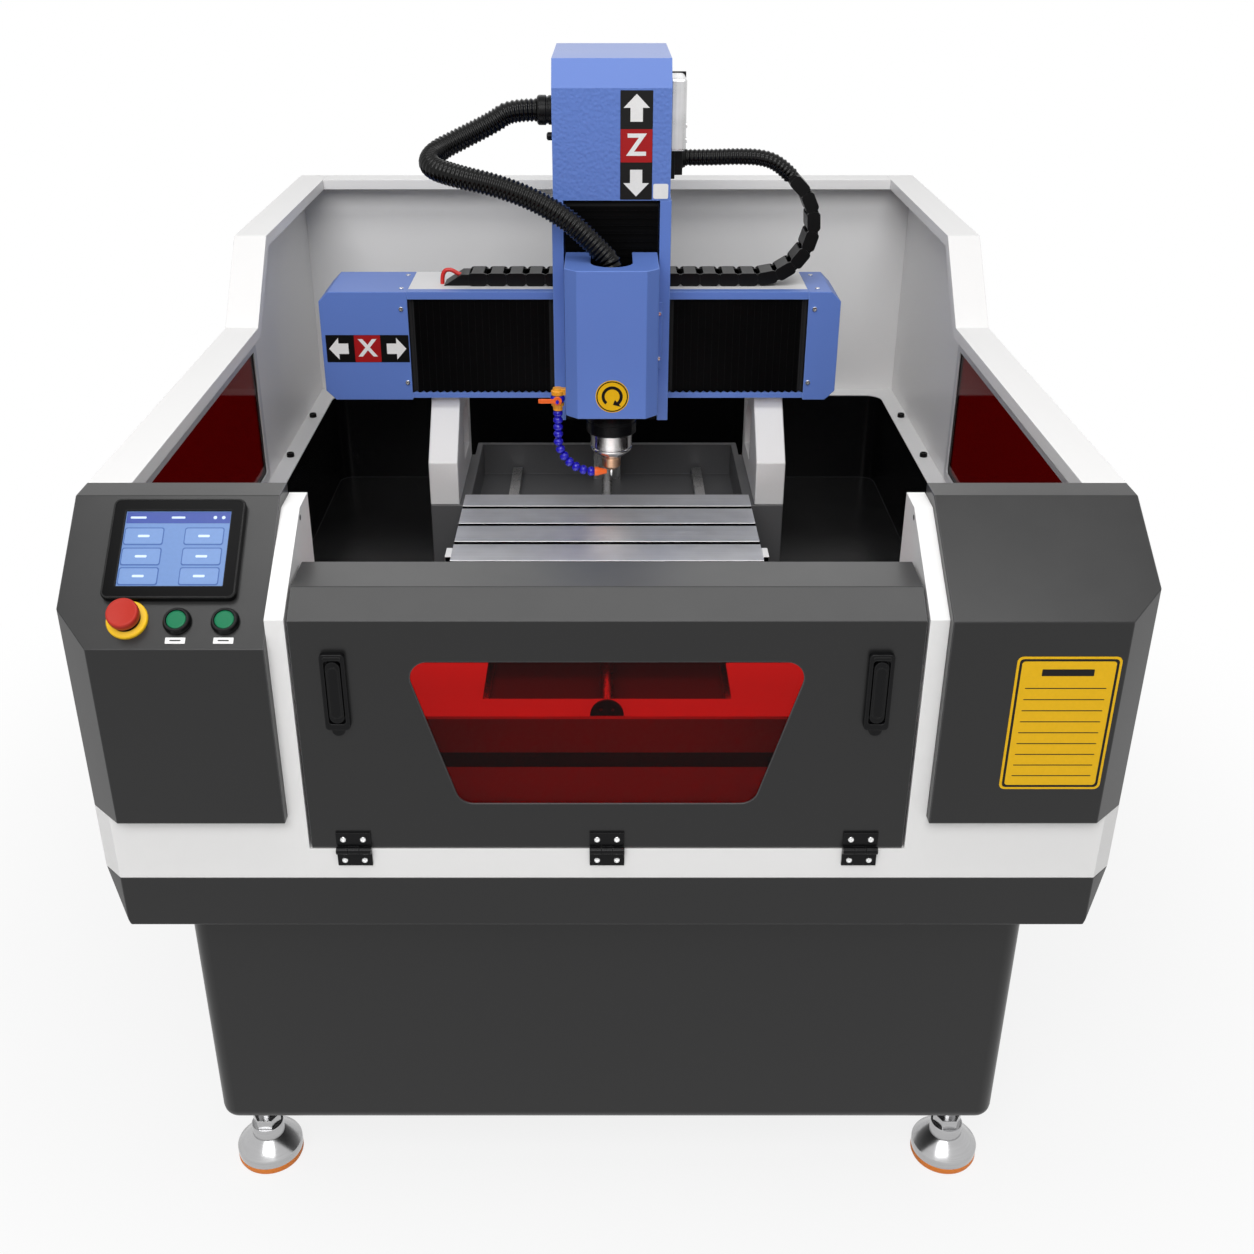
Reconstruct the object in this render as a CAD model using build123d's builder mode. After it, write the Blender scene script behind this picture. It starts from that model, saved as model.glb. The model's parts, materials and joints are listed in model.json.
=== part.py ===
from build123d import *
import os
from math import atan2, cos, degrees, pi, radians, sin, tan

# Metal engraving machine: a fixed bridge over a moving slotted table, in an open splash
# enclosure with a drop-down front door. Millimetres, +Z up, +Y to the back, origin on the floor
# under the middle of the body.

# Shared stock and clearances
sheet = 3.0
run_gap = 0.5
pin_fit = 0.05
overrun = 5.0

# Enclosure body
body_width = 1300.0
body_depth = 1650.0
corner_chamfer = 26.0
foot_height = 127.0
base_height = 433.0
skirt_height = 76.0
skirt_taper = 28.0
wall_height = 468.0
wall_step_rise = 128.0
wall_step_setback = 909.0
wall_step_run = 130.0
lip_width = 56.0
lip_return = 20.0

# Base cabinet and levelling feet
base_side_inset = 75.0
base_end_inset = 77.0
base_radius = 25.0
inlet_radius = 11.0
inlet_length = 18.0
inlet_rise = 60.0
inlet_side = 420.0
foot_side_inset = 48.0
foot_end_inset = 62.0
pad_radius = 50.0
pad_height = 14.0
cup_top_radius = 22.0
cup_height = 46.0
cup_shoulder = 12.0
foot_nut_radius = 23.0
foot_nut_height = 18.0
stem_radius = 12.0
control_width = 520.0
control_depth = 320.0
control_height = 300.0

# Side windows
window_start = 260.0
window_length = 780.0
window_sill = 159.0
window_height = 223.0
window_radius = 15.0
window_lap = 15.0
pane_thickness = 4.0

# Drip tray and its rim
tray_setback = 195.0
tray_side_gap = 35.0
tray_back_gap = 43.0
tray_rim_height = 124.0
tray_radius = 34.0
shelf_depth = 150.0
shelf_notch_width = 346.0
shelf_notch_depth = 105.0
shelf_apron = 55.0

# Front frame, consoles and door opening
console_proud = 15.0
console_width = 250.0
console_back = 188.0
console_foot = 94.0
console_flange = 43.0
left_crease_drop = 129.0
right_crease_drop = 93.0
post_drop = 15.0
post_crease_drop = 98.0
post_slope_run = 143.0
post_flat = 50.0
post_width = 23.0
door_gap = 3.0
sill_height = 45.0

# Door, its window, hinges and latches
door_rise = 26.6
door_slope_run = 38.6
door_flange = 71.4
door_return = 20.0
glass_bottom = 66.0
glass_height = 200.0
glass_top_margin = 132.0
glass_bottom_margin = 192.0
glass_radius = 22.0
glass_lap = 12.0
hinge_inset = 54.0
hinge_width = 44.0
hinge_leaf = 18.5
hinge_web = 6.5
hinge_thickness = 3.0
knuckle_radius = 5.0
knuckle_width = 14.6
hinge_pin_radius = 2.0
latch_inset = 50.0
latch_rise = 177.0
latch_width = 30.0
latch_height = 103.0
latch_proud = 8.0
latch_body_width = 24.0
latch_body_depth = 14.0
latch_corner = 5.0
lever_width = 18.0
lever_height = 84.0
lever_thickness = 6.0
lever_pin_radius = 1.5
latch_cam_length = 34.0
latch_cam_thickness = 4.0

# Console fittings, measured along the sloping panel from its lower crease
screen_width = 160.0
screen_height = 134.0
screen_depth = 9.0
screen_shift = 7.0
screen_rise = 129.0
screen_radius = 9.0
display_width = 127.0
display_height = 101.0
display_recess = 2.5
display_thickness = 3.0
button_rise = 35.5
button_shifts = (20.6, 77.0)
estop_shift = -38.6
estop_rise = 37.5
bezel_radius = 16.5
bezel_height = 5.0
cap_radius = 11.7
cap_proud = 6.5
cap_depth = 14.0
estop_ring_radius = 24.0
estop_ring_height = 5.0
estop_ring_draft = 19.0
estop_stem_radius = 9.0
estop_head_radius = 19.0
estop_head_height = 13.0
estop_travel = 5.0
slide_fit = 0.35

# Bed, table and lengthwise drive
bed_setback = 260.0
bed_back_gap = 248.0
bed_width = 550.0
bed_height = 156.0
bed_wall = 12.0
trough_depth = 66.0
bed_floor = 20.0
bed_rib = 36.0
wing_width = 62.0
rail_width = 20.0
rail_height = 18.0
y_rail_side = 190.0
rail_end_gap = 10.0
screw_radius = 10.0
y_screw_height = 32.0
bearing_length = 30.0
bearing_width = 56.0
motor_size = 70.0
motor_length = 78.0
table_setback = 474.0
table_width = 530.0
table_length = 530.0
table_thickness = 30.0
table_lift = 10.0
slot_count = 6
slot_pitch = 81.0
slot_mouth = 12.0
slot_inner = 22.0
slot_mouth_depth = 8.0
slot_inner_depth = 9.0
saddle_width = 430.0
saddle_length = 300.0
saddle_channel = 110.0
saddle_skin = 14.0
block_length = 64.0
block_lap = 14.0
block_height = 30.0
nut_width = 62.0
nut_length = 50.0
clip_width = 10.0
clip_length = 36.0
clip_height = 22.0
clip_setback = 246.0

# Bridge: legs, beam, covers and crosswise drive
leg_gap = 564.0
leg_width = 55.0
leg_back_gap = 352.0
leg_depth = 280.0
leg_face_height = 85.0
leg_slope_run = 100.0
leg_slope_rise = 89.0
leg_cap = 13.0
leg_pocket = 24.0
leg_pocket_inset = 40.0
beam_inset = 80.0
beam_height = 202.0
beam_depth = 160.0
beam_front_room = 60.0
beam_wall = 14.0
beam_left = 369.0
beam_right = 372.0
left_cover_length = 164.0
right_cover_length = 60.0
cover_chamfer = 18.0
core_overhang_left = 76.0
core_overhang_right = 40.0
top_plate = 4.0
upper_lip_depth = 22.0
upper_lip_drop = 14.0
lower_lip_thickness = 9.0
lip_thickness = 4.0
x_rail_height = 15.0
x_rail_spread = 60.0
pleat_pitch = 13.0
pleat_depth = 14.0
pleat_skin = 1.2

# Cross carriage, column and head
carriage_x = 8.0
column_width = 208.0
column_reach = 84.0
column_drop = 16.0
column_height = 397.0
column_flange = 20.0
column_web = 10.0
saddle_plate_back = 28.0
saddle_margin = 7.0
x_nut_width = 50.0
hood_depth = 309.0
hood_height = 227.0
hood_width = 203.0
hood_slope_run = 29.0
hood_slope_rise = 44.0
z_rail_side = 55.0
z_rail_width = 15.0
z_rail_height = 15.0
z_screw_radius = 8.0
z_screw_gap = 19.0
z_motor_size = 50.0
z_motor_length = 100.0
slide_width = 154.0
slide_height = 180.0
slide_lift = 57.0
slide_thickness = 16.0
z_block_height = 28.0
z_block_width = 34.0
z_block_length = 50.0
z_nut_width = 40.0
z_nut_length = 40.0
bellows_gap = 2.0

# Spindle, its cover and the cutter
spindle_reach = 76.0
spindle_radius = 40.0
spindle_top = 200.0
cover_width = 161.0
cover_front = 65.0
cover_back_gap = 4.0
cover_height = 258.0
cover_rise = 50.0
cover_corner = 21.0
cover_notch = 72.0
cover_tab_width = 10.5
cover_tab_height = 122.0
cover_tab_rise = 50.0
clamp_width = 116.0
clamp_front = 48.0
clamp_rise = 24.0
clamp_height = 140.0
collar_radius = 45.0
collar_height = 38.0
nose_radius = 37.5
nose_height = 33.0
taper_height = 14.0
taper_radius = 20.0
shaft_radius = 12.5
shaft_depth = 60.0
nut_radius = 17.0
nut_height = 24.0
cutter_radius = 3.0
cutter_shank = 8.0
cutter_tip = 9.0
cutter_tip_radius = 0.4

# Coolant valve and jointed hose
valve_width = 30.0
valve_depth = 25.0
valve_height = 40.0
valve_reach = 30.0
valve_rise = 2.0
lever_arm = 34.0
lever_bar = 8.0
lever_bar_thickness = 4.0
hub_radius = 8.0
hub_pin_radius = 3.0
hub_pin_length = 6.0
bead_radius = 8.5
bead_neck = 5.5
bead_pitch = 13.0
bead_gap = 0.3
hose_drop = 52.0
hose_bend = 65.0
nozzle_length = 22.0
nozzle_tip = 3.5

# Cable guides
chain_width = 60.0
chain_link_height = 24.0
chain_setback = 42.0
chain_pitch = 36.0
chain_link_gap = 0.6
chain_wall = 4.0
chain_start = 282.0
chain_straight = 563.0
chain_bend = 99.0
chain_arc = 150.0
conduit_radius = 20.0
feed_radius = 15.0
wire_radius = 4.0
box_width = 30.0
box_depth = 100.0
box_height = 121.0
box_setback = 84.0
box_rise = 68.0
box_radius = 8.0
plug_height = 57.0
plug_width = 32.0
plug_depth = 64.0
gland_radius = 25.0
gland_length = 29.0
gland_rise = 136.0
gland_setback = 99.0
cord_bend_share = 0.45
feed_last_run = 31.0

# Cord routes as steps from where each cord leaves its fitting
conduit_steps = [
    (0.0, 0.0, 0.0),
    (-46.0, 0.0, 0.0),
    (-75.0, -5.0, -19.0),
    (-128.0, -16.0, -43.0),
    (-181.0, -41.0, -66.0),
    (-184.0, -95.0, -81.0),
    (-130.0, -130.0, -91.0),
    (-67.0, -143.0, -102.0),
    (-3.0, -154.0, -123.0),
    (53.0, -163.0, -153.0),
    (97.0, -171.0, -190.0),
    (126.0, -175.0, -220.0),
]
feed_steps = [
    (0.0, 0.0, 8.0),
    (45.0, 0.0, 8.0),
    (93.0, 0.0, 10.0),
    (140.0, 0.0, 8.5),
]
wire_steps = [
    (0.0, -8.0, 0.0),
    (-18.0, -8.0, 5.0),
    (-34.0, -8.0, 16.0),
    (-50.0, -8.0, 10.0),
    (-50.0, -8.0, -12.0),
]

# Levels and planes that several pieces share
half_width = body_width / 2
front_y = (console_proud - body_depth) / 2
back_y = front_y + body_depth
body_y = (front_y + back_y) / 2
base_z = foot_height
skirt_z = base_z + base_height
band_z = skirt_z + skirt_height
wall_z = band_z + wall_height
high_wall_z = wall_z + wall_step_rise
tray_z = skirt_z + sheet
tray_floor_z = tray_z + sheet
rim_z = band_z + tray_rim_height
inner_x = half_width - sheet
tray_x = half_width - tray_side_gap
tray_back_y = back_y - tray_back_gap
shelf_y = front_y + tray_setback
console_x = half_width - console_width
console_front_y = front_y - console_proud
console_back_y = front_y + console_back
console_z = band_z + console_foot
console_top_z = wall_z
slope_top_y = console_back_y - console_flange
slope_run = slope_top_y - console_front_y
post_x = console_x - post_width
sill_z = band_z + sill_height
door_x = post_x - door_gap
door_z = sill_z + door_gap
latch_x = door_x - latch_inset
door_crease_z = wall_z - post_crease_drop - door_gap / 2
bed_y = front_y + bed_setback
bed_back_y = back_y - bed_back_gap
bed_top_z = tray_floor_z + bed_height
trough_z = bed_top_z - trough_depth
y_screw_z = trough_z + y_screw_height
table_y = front_y + table_setback
table_z = bed_top_z + table_lift
table_mid_y = table_y + table_length / 2
leg_y = bed_back_y - leg_back_gap
beam_y = leg_y + beam_inset
beam_z = bed_top_z + leg_face_height + leg_slope_rise + leg_cap
beam_top_z = beam_z + beam_height
beam_back_y = beam_y + beam_depth
core_y = beam_y + beam_front_room
core_top_z = beam_top_z - top_plate
x_screw_z = (beam_z + lower_lip_thickness + beam_top_z - upper_lip_drop) / 2
x_screw_y = core_y - rail_height
column_y = beam_y - column_reach
column_back_y = beam_y - saddle_plate_back + sheet
column_z = beam_z - column_drop
hood_z = column_z + column_height
web_y = column_back_y - column_web
z_screw_y = web_y - z_screw_gap
slide_z = column_z + slide_lift
slide_back_y = web_y - z_rail_height - z_block_height + z_screw_radius
slide_y = slide_back_y - slide_thickness
spindle_y = column_y - spindle_reach
cover_z = column_z + cover_rise
cover_top_z = cover_z + cover_height
cover_y = spindle_y - cover_front
cover_back_y = column_y + cover_back_gap
cover_left_x = carriage_x - cover_width / 2
collar_z = cover_z - collar_height - overrun
nose_z = collar_z - nose_height
taper_z = nose_z - taper_height
valve_y = spindle_y - valve_reach
valve_z = cover_z + valve_rise
valve_x = cover_left_x - valve_width
hose_x = cover_left_x - valve_width / 2
hose_y = valve_y + valve_depth / 2
chain_y = beam_y + chain_setback + chain_width / 2
chain_z = beam_top_z + chain_link_height / 2
hood_right_x = carriage_x + hood_width / 2
hood_left_x = carriage_x - hood_width / 2
plug_z = hood_z + box_rise - plug_height
plug_mid_z = plug_z + plug_height / 2
gland_y = column_y + gland_setback
gland_z = hood_z + gland_rise
os.makedirs("parts", exist_ok=True)


def block(x_range, y_range, z_range, mode=Mode.ADD):
    """Box between two limits on each axis."""
    spans = [x_range, y_range, z_range]
    with Locations(tuple(sum(span) / 2 for span in spans)):
        Box(*(span[1] - span[0] for span in spans), mode=mode)


def rod(plane, centre, radius, start, end, mode=Mode.ADD):
    """Round bar along the plane's normal, between two distances from the plane."""
    with BuildSketch(plane.offset(start)) as section:
        with Locations(centre):
            Circle(radius)
    extrude(section.sketch, amount=end - start, mode=mode)


def outline(plane, points):
    """Flat face with the given corners on a plane."""
    with BuildSketch(plane) as shape:
        with BuildLine():
            Polyline(*points, close=True)
        make_face()
    return shape.sketch


def folded(plane, points, thickness, side=Side.RIGHT):
    """Cross-section of a folded sheet whose outer face follows the points."""
    with BuildSketch(plane) as shape:
        with BuildLine():
            Polyline(*points)
            offset(amount=thickness, side=side, kind=Kind.INTERSECTION)
        make_face()
    return shape.sketch


def save(part, name):
    """Label a finished piece and write its file."""
    part.label = name
    export_step(part, f"parts/{name}.step")


# Base cabinet: rounded steel box, open under the skirt, with the mains inlet at the back
base_x = half_width - base_side_inset
base_y = front_y + base_end_inset
base_back_y = back_y - base_end_inset
with BuildPart() as base_cabinet:
    block((-base_x, base_x), (base_y, base_back_y), (base_z, skirt_z))
    fillet(base_cabinet.edges().filter_by(Axis.Z), radius=base_radius)
    fillet(base_cabinet.faces().sort_by(Axis.Z)[0].edges(), radius=base_radius - sheet)
    offset(amount=-sheet, openings=base_cabinet.faces().sort_by(Axis.Z)[-1])
    inlet_place = (base_z + base_height / 2 - inlet_rise, inlet_side)
    rod(Plane.ZX, inlet_place, inlet_radius, base_back_y - sheet, base_back_y + inlet_length)
    rod(Plane.ZX, inlet_place, inlet_radius - sheet, base_back_y - sheet * 2,
        base_back_y + inlet_length + overrun, mode=Mode.SUBTRACT)
save(base_cabinet.part, "base_cabinet")

# Control unit: drives and controller in one steel case on the cabinet floor
with BuildPart() as control_unit:
    block((-control_width / 2, control_width / 2), (body_y, body_y + control_depth),
          (base_z + sheet, base_z + sheet + control_height))
    offset(amount=-sheet, mode=Mode.SUBTRACT)
save(control_unit.part, "control_unit")

# Levelling feet: rubber ring, then bell cup with its nut and stem up to the cabinet
foot_x = base_x - foot_side_inset
foot_y = (base_y + foot_end_inset, base_back_y - foot_end_inset)
foot_places = [(x, y) for x in (-foot_x, foot_x) for y in foot_y]
with BuildPart() as foot_pads:
    with BuildSketch():
        with Locations(*foot_places):
            Circle(pad_radius)
    extrude(amount=pad_height)
save(foot_pads.part, "foot_pads")

cup_top_z = pad_height + cup_height
with BuildPart() as foot_cups:
    with BuildSketch(Plane.XZ):
        with BuildLine():
            base_line = Polyline((0, cup_top_z), (0, pad_height), (pad_radius - sheet, pad_height))
            bell = Spline(base_line @ 1, (cup_top_radius, cup_top_z),
                          tangents=[(-sheet, cup_shoulder), (0, cup_height)],
                          tangent_scalars=[1, 1])
            Line(bell @ 1, base_line @ 0)
        make_face()
    revolve(axis=Axis.Z)
    with BuildSketch(Plane.XY.offset(cup_top_z)):
        RegularPolygon(foot_nut_radius, side_count=6)
    extrude(amount=foot_nut_height)
    rod(Plane.XY, (0, 0), stem_radius, cup_top_z, base_z)
foot_cup = foot_cups.part
save(Compound([Pos(x, y, 0) * foot_cup for x, y in foot_places]), "foot_cups")

# Skirt: shallow pan under the body, its sides drawn in towards the bottom
body_plan = [
    (-half_width, back_y),
    (-half_width, front_y + corner_chamfer),
    (-half_width + corner_chamfer, front_y),
    (half_width - corner_chamfer, front_y),
    (half_width, front_y + corner_chamfer),
    (half_width, back_y),
]
with BuildPart() as lower_skirt:
    extrude(outline(Plane.XY.offset(skirt_z), body_plan), amount=skirt_height)
    taper_x = half_width - skirt_taper
    sides = [(-half_width, band_z), (-taper_x, skirt_z), (taper_x, skirt_z), (half_width, band_z)]
    extrude(outline(Plane.XZ, sides), amount=body_depth, both=True, mode=Mode.INTERSECT)
    offset(amount=-sheet, openings=lower_skirt.faces().sort_by(Axis.Z)[-1])
save(lower_skirt.part, "lower_skirt")

# Front frame: the band under door and consoles, the door sill and the two posts
post_top_z = wall_z - post_drop
post_crease_z = wall_z - post_crease_drop
post_side = [
    (front_y, sill_z - sheet),
    (front_y, post_crease_z),
    (front_y + post_slope_run, post_top_z),
    (front_y + post_slope_run + post_flat, post_top_z),
    (front_y + post_slope_run + post_flat, sill_z - sheet),
]
band_plan = [(x, min(y, console_back_y)) for x, y in body_plan]
with BuildPart() as front_frame:
    extrude(folded(Plane.XY.offset(band_z), band_plan, sheet, Side.LEFT), amount=console_foot)
    block((-post_x, post_x), (front_y - overrun, front_y + sheet + overrun),
          (sill_z, console_z + overrun), mode=Mode.SUBTRACT)
    block((-post_x, post_x), (front_y, shelf_y - sheet), (sill_z - sheet, sill_z))
    for side in (-1, 1):
        post_plane = Plane.YZ.offset(side * post_x)
        extrude(outline(post_plane, post_side), amount=side * post_width)
        with BuildSketch(Plane.YZ.offset(side * (post_x + sheet))) as post_hollow:
            add(outline(Plane.XY, post_side))
            offset(amount=-sheet, kind=Kind.INTERSECTION, mode=Mode.REPLACE)
        extrude(post_hollow.sketch, amount=side * post_width, mode=Mode.SUBTRACT)
save(front_frame.part, "front_frame")

# Side walls: folded sheet with a stepped top, a wide inward lip and a long window
step_y = front_y + wall_step_setback
high_y = step_y + wall_step_run
wall_end_y = back_y - sheet


def wall_side(drop):
    """Side view of the wall with its stepped top edge lowered."""
    return [
        (console_back_y, band_z),
        (console_back_y, wall_z - drop),
        (step_y + drop / 2, wall_z - drop),
        (high_y + drop / 2, high_wall_z - drop),
        (wall_end_y, high_wall_z - drop),
        (wall_end_y, band_z),
    ]


window_y = front_y + window_start + window_length / 2
window_z = band_z + window_sill + window_height / 2
with BuildPart() as left_side_wall:
    outer_plane = Plane.YZ.offset(-half_width)
    inner_plane = Plane.YZ.offset(-inner_x)
    edge_plane = Plane.YZ.offset(lip_width - sheet - half_width)
    extrude(outline(outer_plane, wall_side(0)), amount=lip_width)
    extrude(outline(inner_plane, wall_side(sheet)), amount=lip_width - sheet * 2, mode=Mode.SUBTRACT)
    extrude(outline(edge_plane, wall_side(lip_return)), amount=sheet * 2, mode=Mode.SUBTRACT)
    with BuildSketch(outer_plane) as window_opening:
        with Locations((window_y, window_z)):
            RectangleRounded(window_length, window_height, window_radius)
    extrude(window_opening.sketch, amount=sheet + overrun, mode=Mode.SUBTRACT)
save(left_side_wall.part, "left_side_wall")
with BuildPart() as right_side_wall:
    mirror(left_side_wall.part, about=Plane.YZ)
save(right_side_wall.part, "right_side_wall")

# Side windows: tinted panes laid against the inside of the walls
with BuildPart() as side_windows:
    for side in (-1, 1):
        with BuildSketch(Plane.YZ.offset(side * inner_x)) as pane:
            with Locations((window_y, window_z)):
                RectangleRounded(window_length + window_lap * 2, window_height + window_lap * 2,
                                 window_radius)
        extrude(pane.sketch, amount=-side * pane_thickness)
save(side_windows.part, "side_windows")

# Back wall with the same lip as the side walls
with BuildPart() as back_wall:
    lip_x = half_width - lip_width
    back_fold = [
        (back_y, band_z),
        (back_y, high_wall_z),
        (back_y - lip_width, high_wall_z),
        (back_y - lip_width, high_wall_z - lip_return),
    ]
    extrude(folded(Plane.YZ, back_fold, sheet, Side.LEFT), amount=lip_x, both=True)
    block((-half_width, half_width), (wall_end_y, back_y), (band_z, high_wall_z))
save(back_wall.part, "back_wall")

# Drip tray: the black tub that catches coolant and chips
with BuildPart() as drip_tray:
    block((-tray_x, tray_x), (shelf_y, tray_back_y), (tray_z, rim_z))
    fillet(drip_tray.edges().filter_by(Axis.Z), radius=tray_radius)
    offset(amount=-sheet, openings=drip_tray.faces().sort_by(Axis.Z)[-1])
save(drip_tray.part, "drip_tray")

# Tray rim: white flange round the tub with a deep front shelf and its apron
with BuildPart() as tray_rim:
    block((-inner_x, inner_x), (shelf_y, wall_end_y), (rim_z, rim_z + sheet))
    opening_y = (shelf_y + shelf_depth, tray_back_y - sheet)
    opening_mid = (0, sum(opening_y) / 2)
    with BuildSketch(Plane.XY.offset(rim_z)) as rim_opening:
        with Locations(opening_mid):
            RectangleRounded(tray_x * 2 - sheet * 2, opening_y[1] - opening_y[0], tray_radius)
        with Locations((0, opening_y[0])):
            Rectangle(shelf_notch_width, shelf_notch_depth * 2)
    extrude(rim_opening.sketch, amount=sheet + overrun, mode=Mode.SUBTRACT)
    block((-post_x, post_x), (shelf_y - sheet, shelf_y), (rim_z - shelf_apron, rim_z + sheet))
save(tray_rim.part, "tray_rim")


# Consoles: hollow steel desks in the two front corners
def console_plan(side):
    """Plan of one console, its outer front corner cut in line with the body's chamfer."""
    cut = corner_chamfer + console_proud
    return [
        (side * console_x, console_front_y),
        (side * (half_width - cut), console_front_y),
        (side * half_width, console_front_y + cut),
        (side * half_width, console_back_y),
        (side * console_x, console_back_y),
    ]


def console_side(crease_z):
    """Side view of a console: upright face, sloping panel and flat top."""
    return [
        (console_front_y, console_z),
        (console_front_y, crease_z),
        (slope_top_y, console_top_z),
        (console_back_y, console_top_z),
        (console_back_y, console_z),
    ]


def console_shell(side, crease_z):
    """Hollow desk, open underneath where it stands on the front band."""
    with BuildPart() as shell:
        extrude(outline(Plane.XY.offset(console_z), console_plan(side)), amount=wall_height)
        extrude(outline(Plane.YZ, console_side(crease_z)), amount=half_width, both=True,
                mode=Mode.INTERSECT)
        offset(amount=-sheet, openings=shell.faces().sort_by(Axis.Z)[0])
    return shell.part


left_crease_z = console_top_z - left_crease_drop
right_crease_z = console_top_z - right_crease_drop
panel_angle = atan2(left_crease_drop, slope_run)
panel = Plane(
    origin=(-half_width + console_width / 2, console_front_y, left_crease_z),
    x_dir=(1, 0, 0),
    z_dir=(0, -sin(panel_angle), cos(panel_angle)),
)
panel_axis = Axis((0, 0, 0), tuple(panel.z_dir))
button_places = [(shift, button_rise) for shift in button_shifts]
estop_place = (estop_shift, estop_rise)
with BuildPart() as left_console:
    add(console_shell(-1, left_crease_z))
    with BuildSketch(panel) as button_holes:
        with Locations(*button_places):
            Circle(cap_radius + slide_fit)
        with Locations(estop_place):
            Circle(estop_stem_radius + slide_fit)
    extrude(button_holes.sketch, amount=-sheet * 2, mode=Mode.SUBTRACT)
save(left_console.part, "left_console")
with BuildPart() as right_console:
    add(console_shell(1, right_crease_z))
save(right_console.part, "right_console")

# Screen: rounded bezel on the panel with the display set into it
with BuildPart() as screen_bezel:
    with BuildSketch(panel) as bezel_face:
        with Locations((screen_shift, screen_rise)):
            RectangleRounded(screen_width, screen_height, screen_radius)
    extrude(bezel_face.sketch, amount=screen_depth)
    bezel_front = screen_bezel.faces().sort_by(panel_axis)[-1]
    fillet(bezel_front.edges(), radius=sheet / 2)
    with BuildSketch(panel.offset(screen_depth)) as display_opening:
        with Locations((screen_shift, screen_rise)):
            Rectangle(display_width, display_height)
    extrude(display_opening.sketch, amount=-display_recess - display_thickness, mode=Mode.SUBTRACT)
save(screen_bezel.part, "screen_bezel")
with BuildPart() as screen_display:
    with BuildSketch(panel.offset(screen_depth - display_recess)) as display_face:
        with Locations((screen_shift, screen_rise)):
            Rectangle(display_width, display_height)
    extrude(display_face.sketch, amount=-display_thickness)
save(screen_display.part, "screen_display")

# Button bezels: two rings for the push buttons and the ring of the emergency stop
with BuildPart() as button_bezels:
    with BuildSketch(panel) as bezel_rings:
        with Locations(*button_places):
            Circle(bezel_radius)
            Circle(cap_radius + slide_fit, mode=Mode.SUBTRACT)
    extrude(bezel_rings.sketch, amount=bezel_height)
    with BuildSketch(panel) as stop_ring:
        with Locations(estop_place):
            Circle(estop_ring_radius)
            Circle(estop_stem_radius + slide_fit, mode=Mode.SUBTRACT)
    extrude(stop_ring.sketch, amount=estop_ring_height, taper=estop_ring_draft)
save(button_bezels.part, "button_bezels")


def push_button(place):
    """Round cap that slides in its bezel, with a slightly domed face."""
    with BuildPart() as cap:
        with BuildSketch(panel.offset(-cap_depth)) as cap_face:
            with Locations(place):
                Circle(cap_radius)
        extrude(cap_face.sketch, amount=cap_depth + cap_proud)
        top = cap.faces().sort_by(panel_axis)[-1]
        fillet(top.edges(), radius=cap_proud / 3)
    return cap.part


save(push_button(button_places[0]), "start_button")
save(push_button(button_places[1]), "stop_button")

# Emergency stop: mushroom head on its stem, clear of the ring by more than its travel
estop_head_z = estop_ring_height + estop_travel + run_gap * 3
with BuildPart() as estop_button:
    with BuildSketch(panel.offset(-cap_depth)) as estop_stem:
        with Locations(estop_place):
            Circle(estop_stem_radius)
    extrude(estop_stem.sketch, amount=cap_depth + estop_head_z)
    with BuildSketch(panel.offset(estop_head_z)) as estop_head:
        with Locations(estop_place):
            Circle(estop_head_radius)
    extrude(estop_head.sketch, amount=estop_head_height)
    crown = estop_button.faces().sort_by(panel_axis)[-1]
    fillet(crown.edges(), radius=estop_head_height / 3)
save(estop_button.part, "estop_button")

# Door: folded panel with returned edges, openings for its window and two latches
door_side = [
    (front_y, door_z),
    (front_y, door_crease_z),
    (front_y + door_slope_run, door_crease_z + door_rise),
    (front_y + door_slope_run + door_flange, door_crease_z + door_rise),
]
glass_z = door_z + glass_bottom


def door_glass(lap):
    """Trapezium of the door window, grown all round by the lap."""
    corners = [
        (glass_bottom_margin - door_x, glass_z),
        (door_x - glass_bottom_margin, glass_z),
        (door_x - glass_top_margin, glass_z + glass_height),
        (glass_top_margin - door_x, glass_z + glass_height),
    ]
    with BuildSketch(Plane.XZ) as shape:
        add(outline(Plane.XY, corners))
        fillet(shape.vertices(), radius=glass_radius)
        if lap:
            offset(amount=lap, mode=Mode.REPLACE)
    return shape.sketch


latch_mid_z = door_z + latch_rise + latch_height / 2
latch_places = [(-latch_x, latch_mid_z), (latch_x, latch_mid_z)]
latch_body_height = latch_height - sheet * 2
with BuildPart() as door_panel:
    extrude(folded(Plane.YZ, door_side, sheet), amount=door_x, both=True)
    for side in (-1, 1):
        cheek = folded(Plane.YZ.offset(side * door_x), door_side, door_return)
        extrude(cheek, amount=-side * sheet)
    block((-door_x, door_x), (front_y, front_y + door_return), (door_z, door_z + sheet))
    extrude(door_glass(0), amount=-front_y + sheet * 2, mode=Mode.SUBTRACT)
    for x, z in latch_places:
        block((x - latch_body_width / 2, x + latch_body_width / 2),
              (front_y - overrun, front_y + sheet + overrun),
              (z - latch_body_height / 2, z + latch_body_height / 2), mode=Mode.SUBTRACT)
save(door_panel.part, "door_panel")
with BuildPart() as door_window:
    pane_face = Pos(0, front_y + sheet, 0) * door_glass(glass_lap)
    extrude(pane_face, amount=-pane_thickness)
save(door_window.part, "door_window")

# Hinges: lower leaves with their pins on the band, upper leaves on the door
hinge_z = (sill_z + door_z) / 2
hinge_y = front_y - knuckle_radius - run_gap
hinge_places = (hinge_inset - door_x, 0, door_x - hinge_inset)


def hinge_leaf_plate(x, way):
    """One leaf on the front face, below the pin (way -1) or above it (way 1)."""
    near = hinge_z + way * hinge_web
    far = near + way * hinge_leaf
    block((x - hinge_width / 2, x + hinge_width / 2), (front_y - hinge_thickness, front_y),
          (min(near, far), max(near, far)))


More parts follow.
